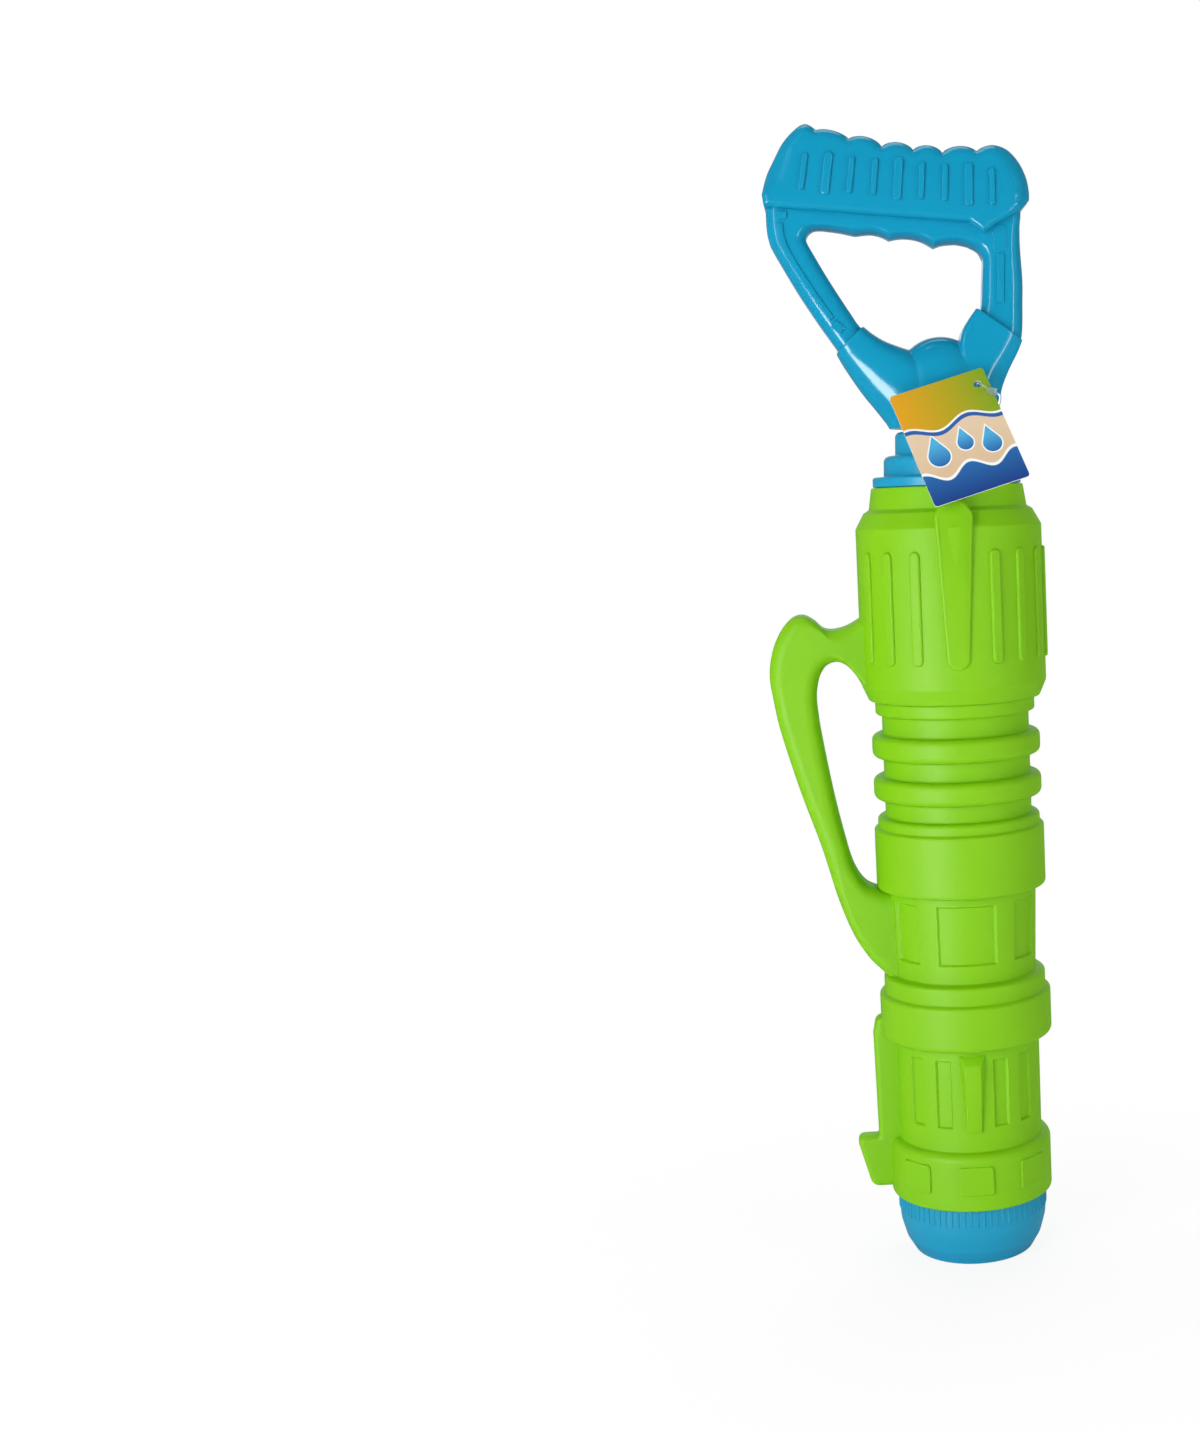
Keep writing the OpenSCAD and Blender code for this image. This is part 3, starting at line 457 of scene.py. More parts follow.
def rounded(rows, steps=5, hold=0.3, closed=True):
    """Corner rows (x, y, edge radius) as a path whose corners are arcs.

    A close point beyond each end of an arc keeps the flats beside it flat when shaded.
    """
    out = []
    count = len(rows)
    for i, (x, y, r) in enumerate(rows):
        p = np.array((x, y), float)
        if r == 0 or (not closed and i in (0, count - 1)):
            out.append(p)
            continue
        before = np.array(rows[i - 1][:2], float) - p
        after = np.array(rows[(i + 1) % count][:2], float) - p
        lb, la = np.linalg.norm(before), np.linalg.norm(after)
        u, v = before / lb, after / la
        half = math.acos(max(-1.0, min(1.0, float(u @ v)))) / 2
        share_b = r / (r + rows[i - 1][2])
        share_a = r / (r + rows[(i + 1) % count][2])
        d = min(r / math.tan(half), 0.96 * lb * share_b, 0.96 * la * share_a)
        rr = d * math.tan(half)
        centre = p + (u + v) / np.linalg.norm(u + v) * rr / math.sin(half)
        s, e = p + u * d - centre, p + v * d - centre
        a0 = math.atan2(s[1], s[0])
        sweep = (math.atan2(e[1], e[0]) - a0 + 3 * math.pi) % (2 * math.pi) - math.pi
        out.append(p + u * (d + min(hold, 0.02 * lb)))
        for k in range(steps + 1):
            a = a0 + sweep * k / steps
            out.append(centre + rr * np.array((math.cos(a), math.sin(a))))
        out.append(p + v * (d + min(hold, 0.02 * la)))
    first = 0 if closed else 1
    kept = [p for i, p in enumerate(out) if i < first or np.linalg.norm(p - out[i - 1]) > 0.01]
    return np.array(kept)


def grid_faces(rows, cols, closed=True):
    """Quads between rings of points, stored one after the other; closed joins the last to the first."""
    return [
        (r * cols + c, r * cols + (c + 1) % cols,
         (r + 1) % rows * cols + (c + 1) % cols, (r + 1) % rows * cols + c)
        for r in range(rows if closed else rows - 1) for c in range(cols)
    ]


def capped(rings):
    """Points and faces of a solid through rings of points, closed by a flat face at each end."""
    rows, cols = len(rings), len(rings[0])
    ends = [tuple(range(start, start + cols)) for start in (0, (rows - 1) * cols)]
    return np.concatenate(rings), grid_faces(rows, cols, closed=False) + ends


def revolved(path, columns=144):
    """A closed outline of (radius, height) turned round the Z axis."""
    turn = np.arange(columns) * 2 * math.pi / columns
    return np.concatenate([on_wall(turn, r, z) for r, z in path]), grid_faces(len(path), columns)


@contextmanager
def opened(mesh):
    """A mesh as a bmesh to work on, which is written back to it at the end."""
    bm = bmesh.new()
    bm.from_mesh(mesh)
    yield bm
    bm.to_mesh(mesh)
    bm.free()


def mesh_of(name, points, faces):
    """A mesh from points in millimetres, with doubles merged and faces turned outwards."""
    mesh = bpy.data.meshes.new(name)
    mesh.from_pydata([tuple(float(c) * MM for c in p) for p in points], [], faces)
    with opened(mesh) as bm:
        bmesh.ops.remove_doubles(bm, verts=bm.verts, dist=0.002 * MM)
        bmesh.ops.recalc_face_normals(bm, faces=bm.faces)
    return mesh


def bevel_all(bm, radius):
    """Rounds every edge of a bmesh."""
    bmesh.ops.bevel(bm, geom=bm.edges[:], offset=radius * MM, segments=3, profile=0.5, affect="EDGES")


def joined(name, meshes):
    """Several meshes as one."""
    bm = bmesh.new()
    for mesh in meshes:
        bm.from_mesh(mesh)
    whole = bpy.data.meshes.new(name)
    bm.to_mesh(whole)
    bm.free()
    return whole


def flipped(mesh):
    """A copy of a mesh, mirrored from front to back, with its faces outwards."""
    copy = mesh.copy()
    copy.transform(Matrix.Scale(-1, 4, Vector((0, 1, 0))))
    copy.flip_normals()
    return copy


def place(name, mesh, material, body, nodes=(), sharp=32):
    """Puts a finished mesh in the scene as a piece that rides on a CAD body."""
    obj = bpy.data.objects.new(name, mesh)
    bpy.context.scene.collection.objects.link(obj)
    if not mesh.materials:
        mesh.materials.append(material)
    mesh.shade_smooth()
    mesh.set_sharp_from_angle(angle=math.radians(sharp))
    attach(obj, body)
    if nodes:
        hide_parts(*nodes)


def evaluated(name, mesh, prepare):
    """The mesh after the modifiers that prepare() adds to an object of it."""
    obj = bpy.data.objects.new(name, mesh)
    bpy.context.scene.collection.objects.link(obj)
    prepare(obj)
    ready = obj.evaluated_get(bpy.context.evaluated_depsgraph_get())
    made = bpy.data.meshes.new_from_object(ready)
    bpy.data.objects.remove(obj)
    return made


def section(half_width, half_depth, edges, deeper=1.0, steps=6):
    """A soft-edged rectangle, as (share of the width from -1 to 1, depth).

    The edges are a near and a far radius, and the far ones may be rounded deeper than they are wide.
    """
    w, d = half_width, half_depth
    near, far = (min(e, EDGE_LIMIT * w, EDGE_LIMIT * d) for e in edges)
    deep = min(far * deeper, EDGE_LIMIT * d)
    corners = ((-1, -1, near, near), (1, -1, far, deep), (1, 1, far, deep), (-1, 1, near, near))
    arcs = []
    for k, (sx, sy, ex, ey) in enumerate(corners):
        a = math.pi + (k + np.arange(steps + 1) / steps) * math.pi / 2
        arcs.append(points_of(sx * (w - ex) + ex * np.cos(a), sy * (d - ey) + ey * np.sin(a)))
    ring = []
    for arc, after in zip(arcs, arcs[1:] + arcs[:1]):
        ring += [*arc, *(arc[-1] + (after[0] - arc[-1]) * t for t in FLAT_SHARES)]
    return np.array(ring) / (w, 1)


def oval(share, form):
    """An oval ring whose depth, ridge and squareness change along the way, as section() gives it."""
    stations = np.array(form)
    depth, ridge, power = (np.interp(share, stations[:, 0], stations[:, k]) for k in (1, 2, 3))
    turn = np.linspace(0, math.tau, 72, endpoint=False)
    across = np.sign(np.cos(turn)) * np.abs(np.cos(turn)) ** (2 / power)
    deep = np.sign(np.sin(turn)) * np.abs(np.sin(turn)) ** (2 / power)
    return points_of(ridge + across * np.where(across < 0, 1 + ridge, 1 - ridge), depth * deep)


def bevelled(half_width, share):
    """The right socket's ring, as section() gives it: a flat face, a soft ridge and a sloping side."""
    w, d = half_width, RIGHT_SOCKET_DEPTH
    near, middle, far = RIGHT_SOCKET_EDGES
    ridge = w * float(np.interp(share, *RIGHT_SOCKET_RIDGE))
    half = [(-w, d, near), (ridge, d, middle), (w, d - RIGHT_SOCKET_SLOPE * (w - ridge), far)]
    ring = rounded(half + [(x, -y, r) for x, y, r in half[::-1]], steps=6)
    return ring / (w, 1)


def lofted(outer, inner, ring_at):
    """A closed solid between two edges in the XZ plane; ring_at(half width, share) gives its section."""
    rings = []
    for k, (o, i) in enumerate(zip(outer, inner)):
        half = (i - o) / 2
        ring = ring_at(float(np.linalg.norm(half)), k / (len(outer) - 1))
        flat = (o + i) / 2 + half * ring[:, :1]
        rings.append(points_of(flat[:, 0], ring[:, 1], flat[:, 1]))
    return capped(rings)


def parted(mesh, depth):
    """Cuts a fine seam into a mesh along y = 0, where its two mould halves met."""
    with opened(mesh) as bm:
        for y in (-SEAM_WIDTH / 2 * MM, 0.0, SEAM_WIDTH / 2 * MM):
            geometry = bm.verts[:] + bm.edges[:] + bm.faces[:]
            bmesh.ops.bisect_plane(bm, geom=geometry, dist=ON_PLANE, plane_co=(0, y, 0), plane_no=(0, 1, 0))
        bm.normal_update()
        for v in bm.verts:
            if abs(v.co.y) < 10 * ON_PLANE:
                v.co -= v.normal * depth
    return mesh


def inset_path(path, by):
    """A closed counter-clockwise path drawn in by one distance, or by one for each of its points."""
    before, after = unit(path - np.roll(path, 1, axis=0)), unit(np.roll(path, -1, axis=0) - path)
    n1, n2 = (points_of(way[:, 1], -way[:, 0]) for way in (before, after))
    share = np.maximum(1 + (n1 * n2).sum(1), 0.35)
    return path - (n1 + n2) / share[:, None] * np.reshape(by, (-1, 1))


def slab(path, front, back, edge, steps=6):
    """A plate in the XZ plane with rounded front and back edges."""
    turns = np.linspace(0, math.pi / 2, steps + 1)
    rings = []
    for face, sign, order in ((back, 1, turns[::-1]), (front, -1, turns)):
        for a in order:
            drawn = inset_path(path, edge * (1 - math.cos(a)))
            rings.append(points_of(drawn[:, 0], face - sign * edge * (1 - math.sin(a)), drawn[:, 1]))
    return capped(rings)


def drilled(mesh, screws):
    """The mesh with a round well in its back for the head of each screw."""
    tool_mesh = bpy.data.meshes.new("drill")
    with opened(tool_mesh) as bm:
        for (x, z), y in screws:
            made = bmesh.ops.create_cone(
                bm, cap_ends=True, segments=32, radius1=WELL_R * MM, radius2=WELL_R * MM,
                depth=2 * WELL_DEPTH * MM)
            turn = Matrix.Translation(Vector((x, y, z)) * MM) @ Matrix.Rotation(math.pi / 2, 4, "X")
            bmesh.ops.transform(bm, matrix=turn, verts=made["verts"])
    tool = bpy.data.objects.new("drill", tool_mesh)
    bpy.context.scene.collection.objects.link(tool)

    def cut(obj):
        step = obj.modifiers.new("Holes", "BOOLEAN")
        step.operation = "DIFFERENCE"
        step.object = tool

    made = evaluated("drilled", mesh, cut)
    bpy.data.objects.remove(tool)
    return made


# Geometry Nodes


def repeat_tree(name, numbers):
    """A node group with geometry in and out, a material, and the named number inputs."""
    tree = bpy.data.node_groups.new(name, "GeometryNodeTree")
    face = tree.interface
    face.new_socket("Geometry", in_out="INPUT", socket_type="NodeSocketGeometry")
    face.new_socket("Material", in_out="INPUT", socket_type="NodeSocketMaterial")
    for title, kind in numbers:
        face.new_socket(title, in_out="INPUT", socket_type=kind)
    face.new_socket("Geometry", in_out="OUTPUT", socket_type="NodeSocketGeometry")
    return tree, add_node(tree, "NodeGroupInput").outputs


def close_tree(tree, given, instances):
    """Ends a node group in real geometry that carries its material."""
    real = add_node(tree, "GeometryNodeRealizeInstances", {"Geometry": instances})
    done = add_node(tree, "GeometryNodeSetMaterial", {
        "Geometry": real.outputs["Geometry"], "Material": given["Material"]})
    add_node(tree, "NodeGroupOutput", {"Geometry": done.outputs["Geometry"]})
    return tree


def round_tree():
    """Repeats a shape round the barrel's axis by equal turns."""
    tree, given = repeat_tree("Repeat Round Axis", (
        ("Count", "NodeSocketInt"), ("First Turn", "NodeSocketFloat"), ("Turn Step", "NodeSocketFloat")))
    points = add_node(tree, "GeometryNodePoints", {"Count": given["Count"]})
    index = add_node(tree, "GeometryNodeInputIndex")
    turn = add_node(tree, "ShaderNodeMath", {
        0: index.outputs["Index"], 1: given["Turn Step"], 2: given["First Turn"]}, operation="MULTIPLY_ADD")
    spin = add_node(tree, "ShaderNodeCombineXYZ", {"Z": turn.outputs["Value"]})
    set_out = add_node(tree, "GeometryNodeInstanceOnPoints", {
        "Points": points.outputs["Points"], "Instance": given["Geometry"],
        "Rotation": spin.outputs["Vector"]})
    return close_tree(tree, given, set_out.outputs["Instances"])


def row_tree():
    """Repeats a rib along a line, with a lean that changes evenly and every third one wider."""
    tree, given = repeat_tree("Repeat Along Grip", (
        ("Count", "NodeSocketInt"), ("Start", "NodeSocketVector"), ("Step", "NodeSocketVector"),
        ("First Lean", "NodeSocketFloat"), ("Lean Step", "NodeSocketFloat"),
        ("Wide Scale", "NodeSocketVector")))
    line = add_node(tree, "GeometryNodeMeshLine", {
        "Count": given["Count"], "Start Location": given["Start"], "Offset": given["Step"]})
    index = add_node(tree, "GeometryNodeInputIndex")
    lean = add_node(tree, "ShaderNodeMath", {
        0: index.outputs["Index"], 1: given["Lean Step"], 2: given["First Lean"]}, operation="MULTIPLY_ADD")
    spin = add_node(tree, "ShaderNodeCombineXYZ", {"Y": lean.outputs["Value"]})
    third = add_node(tree, "ShaderNodeMath", {0: index.outputs["Index"], 1: 3.0}, operation="MODULO")
    wide = add_node(tree, "ShaderNodeMath", {
        0: third.outputs["Value"], 1: 1.0, 2: 0.1}, operation="COMPARE")
    scale = add_node(tree, "ShaderNodeMix", {
        0: wide.outputs["Value"], 4: (1.0, 1.0, 1.0), 5: given["Wide Scale"]}, data_type="VECTOR")
    set_out = add_node(tree, "GeometryNodeInstanceOnPoints", {
        "Points": line.outputs["Mesh"], "Instance": given["Geometry"],
        "Rotation": spin.outputs["Vector"], "Scale": scale.outputs[1]})
    return close_tree(tree, given, set_out.outputs["Instances"])


def repeated(mesh, tree, **values):
    """The mesh after a repeat tree, with the tree's inputs given by name."""
    keys = {s.name: s.identifier for s in tree.interface.items_tree if s.in_out == "INPUT"}

    def fill(obj):
        step = obj.modifiers.new("Repeat", "NODES")
        step.node_group = tree
        for title, value in values.items():
            step[keys[title.replace("_", " ")]] = value

    return evaluated("repeated", mesh, fill)


# Materials


def surface(name):
    """A new material's node tree and its Principled shader."""
    material = bpy.data.materials.new(name)
    material.use_nodes = True
    return material, material.node_tree, material.node_tree.nodes["Principled BSDF"]


def moulded(name, colour, rough, ior, grain_mm, grain_depth, cloud=0.05, scuff=0.06, specular=0.5):
    """Moulded plastic: pigment clouds from the melt, a fine mould grain and light scuffs."""
    material, tree, shader = surface(name)
    place_at = add_node(tree, "ShaderNodeTexCoord").outputs["Object"]
    melt = add_node(tree, "ShaderNodeTexNoise", {
        "Vector": place_at, "Scale": 1 / (38 * MM), "Detail": 3.0, "Roughness": 0.55})
    shade = add_node(tree, "ShaderNodeHueSaturation", {
        "Color": tuple(colour), "Hue": 0.5 + cloud / 15, "Value": 1.0 - cloud})
    tint = add_node(tree, "ShaderNodeMix", {
        0: melt.outputs["Fac"], 6: shade.outputs["Color"], 7: tuple(colour)}, data_type="RGBA")
    wear = add_node(tree, "ShaderNodeTexNoise", {
        "Vector": place_at, "Scale": 1 / (9 * MM), "Detail": 6.0, "Roughness": 0.7, "Distortion": 1.5})
    gloss = add_node(tree, "ShaderNodeMapRange", {
        "Value": wear.outputs["Fac"], "From Min": 0.3, "From Max": 0.75,
        "To Min": rough - scuff / 2, "To Max": rough + scuff})
    grain = add_node(tree, "ShaderNodeTexNoise", {
        "Vector": place_at, "Scale": 1 / (grain_mm * MM), "Detail": 2.0})
    bump = add_node(tree, "ShaderNodeBump", {
        "Height": grain.outputs["Fac"], "Strength": 0.5, "Distance": grain_depth * MM})
    feed(tree, shader, {
        "Base Color": tint.outputs[2], "Roughness": gloss.outputs["Result"],
        "Normal": bump.outputs["Normal"], "IOR": ior, "Specular IOR Level": specular})
    return material


def plated_steel():
    """Zinc-plated steel: a bright metal with a faint cloudy passivation."""
    material, tree, shader = surface("zinc_plated_steel")
    place_at = add_node(tree, "ShaderNodeTexCoord").outputs["Object"]
    cloud = add_node(tree, "ShaderNodeTexNoise", {
        "Vector": place_at, "Scale": 1 / (2.5 * MM), "Detail": 4.0})
    tone = add_node(tree, "ShaderNodeMix", {
        0: cloud.outputs["Fac"], 6: linear("#A9ADB0"), 7: linear("#D4D6D3")}, data_type="RGBA")
    rough = add_node(tree, "ShaderNodeMapRange", {
        "Value": cloud.outputs["Fac"], "To Min": 0.22, "To Max": 0.42})
    feed(tree, shader, {
        "Base Color": tone.outputs[2], "Roughness": rough.outputs["Result"], "Metallic": 1.0})
    return material


def clear_nylon():
    """Drawn nylon filament: clear, a little milky, with a soft gloss."""
    material, tree, shader = surface("clear_drawn_nylon")
    place_at = add_node(tree, "ShaderNodeTexCoord").outputs["Object"]
    haze = add_node(tree, "ShaderNodeTexNoise", {
        "Vector": place_at, "Scale": 1 / (1.5 * MM), "Detail": 2.0})
    milk = add_node(tree, "ShaderNodeMix", {
        0: haze.outputs["Fac"], 6: linear("#EEF2F2"), 7: linear("#FBFCFA")}, data_type="RGBA")
    feed(tree, shader, {
        "Base Color": milk.outputs[2], "Roughness": 0.3, "IOR": 1.25, "Transmission Weight": 0.93})
    return material


def card_steps():
    """The sums that shape the card's print: name, operation and what goes in, in millimetres."""
    steps = [
        ("width", "MULTIPLY_ADD", "x", 0.5 / CARD_HALF[0], 0.5),
        ("height", "MULTIPLY_ADD", "y", 0.5 / CARD_HALF[1], 0.5),
        ("depth", "MULTIPLY_ADD", "y", 1 / 26, 1.05),
        ("all", "GREATER_THAN", "y", -99.0),
        ("swell", "MULTIPLY", "x", 0.24),
        ("swell", "SINE", "swell"),
        ("swell", "MULTIPLY_ADD", "swell", 2.2, 7.0),
        ("line", "SUBTRACT", "y", "swell"),
        ("header", "GREATER_THAN", "line", 0.0),
        ("ribbon", "COMPARE", "line", -0.9, 0.9),
        ("rim", "COMPARE", "line", 0.5, 0.5),
        ("wave", "MULTIPLY_ADD", "x", 0.31, 1.7),
        ("wave", "SINE", "wave"),
        ("wave", "MULTIPLY_ADD", "wave", 2.6, -15.0),
        ("shore", "SUBTRACT", "y", "wave"),
        ("sea", "LESS_THAN", "shore", 0.0),
        ("foam", "COMPARE", "shore", 0.7, 0.7),
    ]
    lean = math.asin(1 / DROP_TIP)
    for i, (x, y, size) in enumerate(CARD_DROPS):
        steps += [
            ("dx", "SUBTRACT", "x", x),
            ("dx", "ABSOLUTE", "dx"),
            ("dy", "SUBTRACT", "y", y),
            ("far", "MULTIPLY", "dy", "dy"),
            ("far", "MULTIPLY_ADD", "dx", "dx", "far"),
            ("far", "SQRT", "far"),
            ("side", "MULTIPLY", "dx", math.cos(lean)),
            ("side", "MULTIPLY_ADD", "dy", math.sin(lean), "side"),
            ("above", "SUBTRACT", size * (1 + math.sin(lean)), "dy"),
            ("side", "MAXIMUM", "side", "above"),
            ("gap", "MINIMUM", "far", "side"),
            (f"halo{i}", "LESS_THAN", "gap", size + 0.6),
            (f"drop{i}", "LESS_THAN", "gap", size),
            (f"shine{i}", "MULTIPLY_ADD", "dy", 0.4 / size, 0.5),
        ]
    return steps


def printed_card(ground):
    """Laminated card with a plain printed pattern: a bright header, a wave and water drops."""
    material, tree, shader = surface("laminated_printed_card")
    uv = add_node(tree, "ShaderNodeUVMap", uv_map="UVMap").outputs["UV"]
    split = add_node(tree, "ShaderNodeSeparateXYZ", {"Vector": uv})
    value = {"x": split.outputs["X"], "y": split.outputs["Y"]}
    for name, operation, *given in card_steps():
        links = {i: value.get(g, g) for i, g in enumerate(given)}
        value[name] = add_node(tree, "ShaderNodeMath", links, operation=operation).outputs["Value"]
    ink = tuple(ground)
    for mask, fade, low, high in CARD_LAYERS:
        colour = add_node(tree, "ShaderNodeMix", {
            0: value[fade], 6: linear(low), 7: linear(high) if high else tuple(ground)}, data_type="RGBA")
        ink = add_node(tree, "ShaderNodeMix", {
            0: value[mask], 6: ink, 7: colour.outputs[2]}, data_type="RGBA").outputs[2]
    speck = add_node(tree, "ShaderNodeTexNoise", {"Vector": uv, "Scale": 2.2, "Detail": 4.0})
    worn = add_node(tree, "ShaderNodeMapRange", {
        "Value": speck.outputs["Fac"], "To Min": 0.28, "To Max": 0.42})
    feed(tree, shader, {"Base Color": ink, "Roughness": worn.outputs["Result"], "IOR": 1.5})
    return material


FINISH = {}


def make_finishes():
    """One material for each real finish on the squirter."""
    colours = bpy.context.scene.squirter_colours
    # Blow-moulded polyethylene: satin, with a fine sandblasted mould grain
    FINISH["shell"] = moulded(
        "blow_moulded_polyethylene", colours.shell, rough=0.49, ior=1.51, grain_mm=0.7, grain_depth=0.05,
        specular=0.21)
    # Injection-moulded polypropylene from a polished mould: glossy, with faint ripples
    FINISH["trim"] = moulded(
        "polished_moulded_polypropylene", colours.trim, rough=0.14, ior=1.49, grain_mm=2.6,
        grain_depth=0.007, cloud=0.04, scuff=0.03)
    # The same plastic from a plain mould, with a soft sheen. Its colour is paler than the trim's as painted
    # light: the trim's blue lightened to stand in for the extra light and sheen on both caps
    FINISH["cap"] = moulded(
        "plain_moulded_polypropylene_painted_lighter", colours.caps, rough=0.32, ior=1.49, grain_mm=1.1, grain_depth=0.02)
    # Natural polypropylene: milky and dull
    FINISH["white"] = moulded(
        "natural_polypropylene", linear("#E4E7E4"), rough=0.4, ior=1.49, grain_mm=1.2, grain_depth=0.03)
    # Moulded rubber: dark, dry and slightly bloomed
    FINISH["rubber"] = moulded(
        "moulded_seal_rubber", linear("#262628"), rough=0.62, ior=1.52, grain_mm=0.5, grain_depth=0.03,
        cloud=0.15)
    FINISH["steel"] = plated_steel()
    FINISH["nylon"] = clear_nylon()
    FINISH["print"] = printed_card(colours.card)
    # Plain back of the card: uncoated board
    FINISH["board"] = moulded(
        "uncoated_card_board", linear("#E9E6DE"), rough=0.7, ior=1.45, grain_mm=0.25, grain_depth=0.02)


# Pieces


def smooth_rise(d, low, high):
    """From 0 below low to 1 above high, with soft ends."""
    t = np.clip((d - low) / (high - low), 0, 1)
    return t * t * (3 - 2 * t)


def angle_off(a, centre):
    """How far one angle lies from another, in degrees, without a sign."""
    return np.abs((a - centre + 180) % 360 - 180)


def barrel_lines():
    """Heights and turns of the barrel's grid lines, close together at each recess's edges."""
    outline = rounded(BARREL, steps=5, closed=False)
    extra = [z + s * d for z0, z1 in (WINDOW_Z, SLOT_Z) for z, s in ((z0, 1), (z1, -1)) for d in EDGE_LINES]
    rows = list(outline)
    for z in sorted(extra):
        k = next(i for i in range(len(rows) - 1) if rows[i][1] <= z < rows[i + 1][1] - 1e-6)
        t = (z - rows[k][1]) / (rows[k + 1][1] - rows[k][1])
        rows.insert(k + 1, rows[k] + (rows[k + 1] - rows[k]) * t)
    per_mm = math.degrees(1 / WALL_R)
    marks = [(c + s * (h - d * per_mm)) % 360
             for c, h in WINDOWS + SLOTS for s in (1, -1) for d in EDGE_LINES]
    plain = [a for a in np.arange(0, 360, TURN_STEP) if min(angle_off(a, np.array(marks))) > TURN_GAP]
    return np.array(rows), np.array(sorted(marks + plain))


def build_barrel_wall(recess):
    """The barrel as one wall, with its windows and slots pressed in and its inside closed."""
    rows, turns = barrel_lines()
    angle = np.radians(turns)
    edge = (EDGE_LINES[1], EDGE_LINES[-2])
    rings = []
    for r, z in rows:
        depth = np.zeros(len(turns))
        for places, (z0, z1) in ((WINDOWS, WINDOW_Z), (SLOTS, SLOT_Z)):
            up = smooth_rise(min(z - z0, z1 - z), *edge)
            for c, half in places:
                inside = np.radians(half - angle_off(turns, c)) * WALL_R
                depth = np.maximum(depth, up * smooth_rise(inside, *edge))
        rings.append(on_wall(angle, r - depth * recess, z))
    rings += [on_wall(angle, r, z) for r, z in BARREL_INSIDE]
    return mesh_of("barrel_wall", np.concatenate(rings), grid_faces(len(rings), len(turns)))


def wall_pad(right, base, face, edge, steps):
    """A raised pad with soft edges on the front of a round wall.

    The right half of its outline is given as (distance round the wall, height, corner radius). The pad
    starts inside the wall at the radius base, and face(height) is the radius of its front.
    """
    loop = rounded(right + [(-x, z, r) for x, z, r in right[::-1]], steps=steps)
    rings = [(loop, base)]
    for a in np.linspace(0, math.pi / 2, 6):
        drawn = inset_path(loop, edge * (1 - math.cos(a)))
        rings.append((drawn, face(drawn[:, 1]) - edge * (1 - math.sin(a))))
    drawn = inset_path(loop, edge * 1.25)
    rings.append((drawn, face(drawn[:, 1])))
    placed = [on_wall(ring[:, 0] / face(ring[:, 1]), reach, ring[:, 1]) for ring, reach in rings]
    return mesh_of("wall_pad", *capped(placed))


def block_pad(pad, proud=0.0, steps=5):
    """A block with round corners on a round wall, from its row in the tables."""
    (w, z0, z1, corner), (base, face, edge) = pad
    return wall_pad([(w, z0, corner), (w, z1, corner)], base, lambda z: face + proud, edge, steps)


def head_tab():
    """The long tongue on the head: narrow and round below, broad and domed above the shoulder."""
    foot = TAB_RIGHT[0][1]
    start, rise, run = TAB_FACE
    bend, bend_rate = TAB_BEND

    def face(z):
        return start + rise * np.clip((z - foot) / run, 0, 1) - bend_rate * np.clip(z - bend, 0, None) ** 2

    return wall_pad(TAB_RIGHT, TAB_BASE, face, TAB_EDGE, steps=8)


def wedge():
    """The bevelled wedge between the slots: a narrow flat face with sloping sides and top."""
    sides = [(i, (i + 1) % 4, 4 + (i + 1) % 4, 4 + i) for i in range(4)]
    mesh = mesh_of("wedge", WEDGE, sides + [(0, 1, 2, 3), (4, 5, 6, 7)])
    with opened(mesh) as bm:
        bevel_all(bm, WEDGE_BEVEL)
    return mesh


class SQUIRTER_OT_barrel(bpy.types.Operator):
    """Builds the barrel's wall with its pressed-in windows and slots"""

    bl_idname = "squirter.barrel"
    bl_label = "Barrel"

    def execute(self, context):
        wall = build_barrel_wall(context.scene.squirter_sizes.recess / MM)
        place("barrel_wall", wall, FINISH["shell"], "barrel", ("barrel_shell",))
        return {"FINISHED"}


class SQUIRTER_OT_barrel_relief(bpy.types.Operator):
    """Builds the ribs, tabs, wedges and collar panels that stand on the barrel"""

    bl_idname = "squirter.barrel_relief"
    bl_label = "Barrel Relief"

    def execute(self, context):
        tree = round_tree()
        rib = block_pad(RIB, proud=context.scene.squirter_sizes.relief / MM)
        panel = block_pad(PANEL)
        jobs = [(rib, row) for row in RIB_ROWS] + [(panel, row) for row in PANEL_ROWS]
        jobs += [(head_tab(), FRONT_AND_BACK), (wedge(), FRONT_AND_BACK)]
        parts = [
            repeated(shape, tree, Material=FINISH["shell"], Count=count,
                     First_Turn=math.radians(first), Turn_Step=math.radians(step))
            for shape, (count, first, step) in jobs
        ]
        place("barrel_relief", joined("barrel_relief", parts), FINISH["shell"], "barrel",
              sharp=38)
        return {"FINISHED"}


class SQUIRTER_OT_side_handle(bpy.types.Operator):
    """Builds the moulded side handle and the fin with its hook"""

    bl_idname = "squirter.side_handle"
    bl_label = "Side Handle"

    def execute(self, context):
        edge = context.scene.squirter_sizes.side_edge / MM
        outer, inner = curve_through(SIDE_OUTER, 9), curve_through(SIDE_INNER, 9)
        solid = lofted(outer, inner, lambda w, _: section(w, SIDE_DEPTH, (edge, edge)))
        handle = mesh_of("side_handle", *solid)
        place("side_handle", handle, FINISH["shell"], "barrel", sharp=50)
        fin = mesh_of("hook_fin", *slab(rounded(FIN, steps=6), -FIN_DEPTH, FIN_DEPTH, FIN_EDGE))
        place("hook_fin", fin, FINISH["shell"], "barrel", sharp=40)
        return {"FINISHED"}


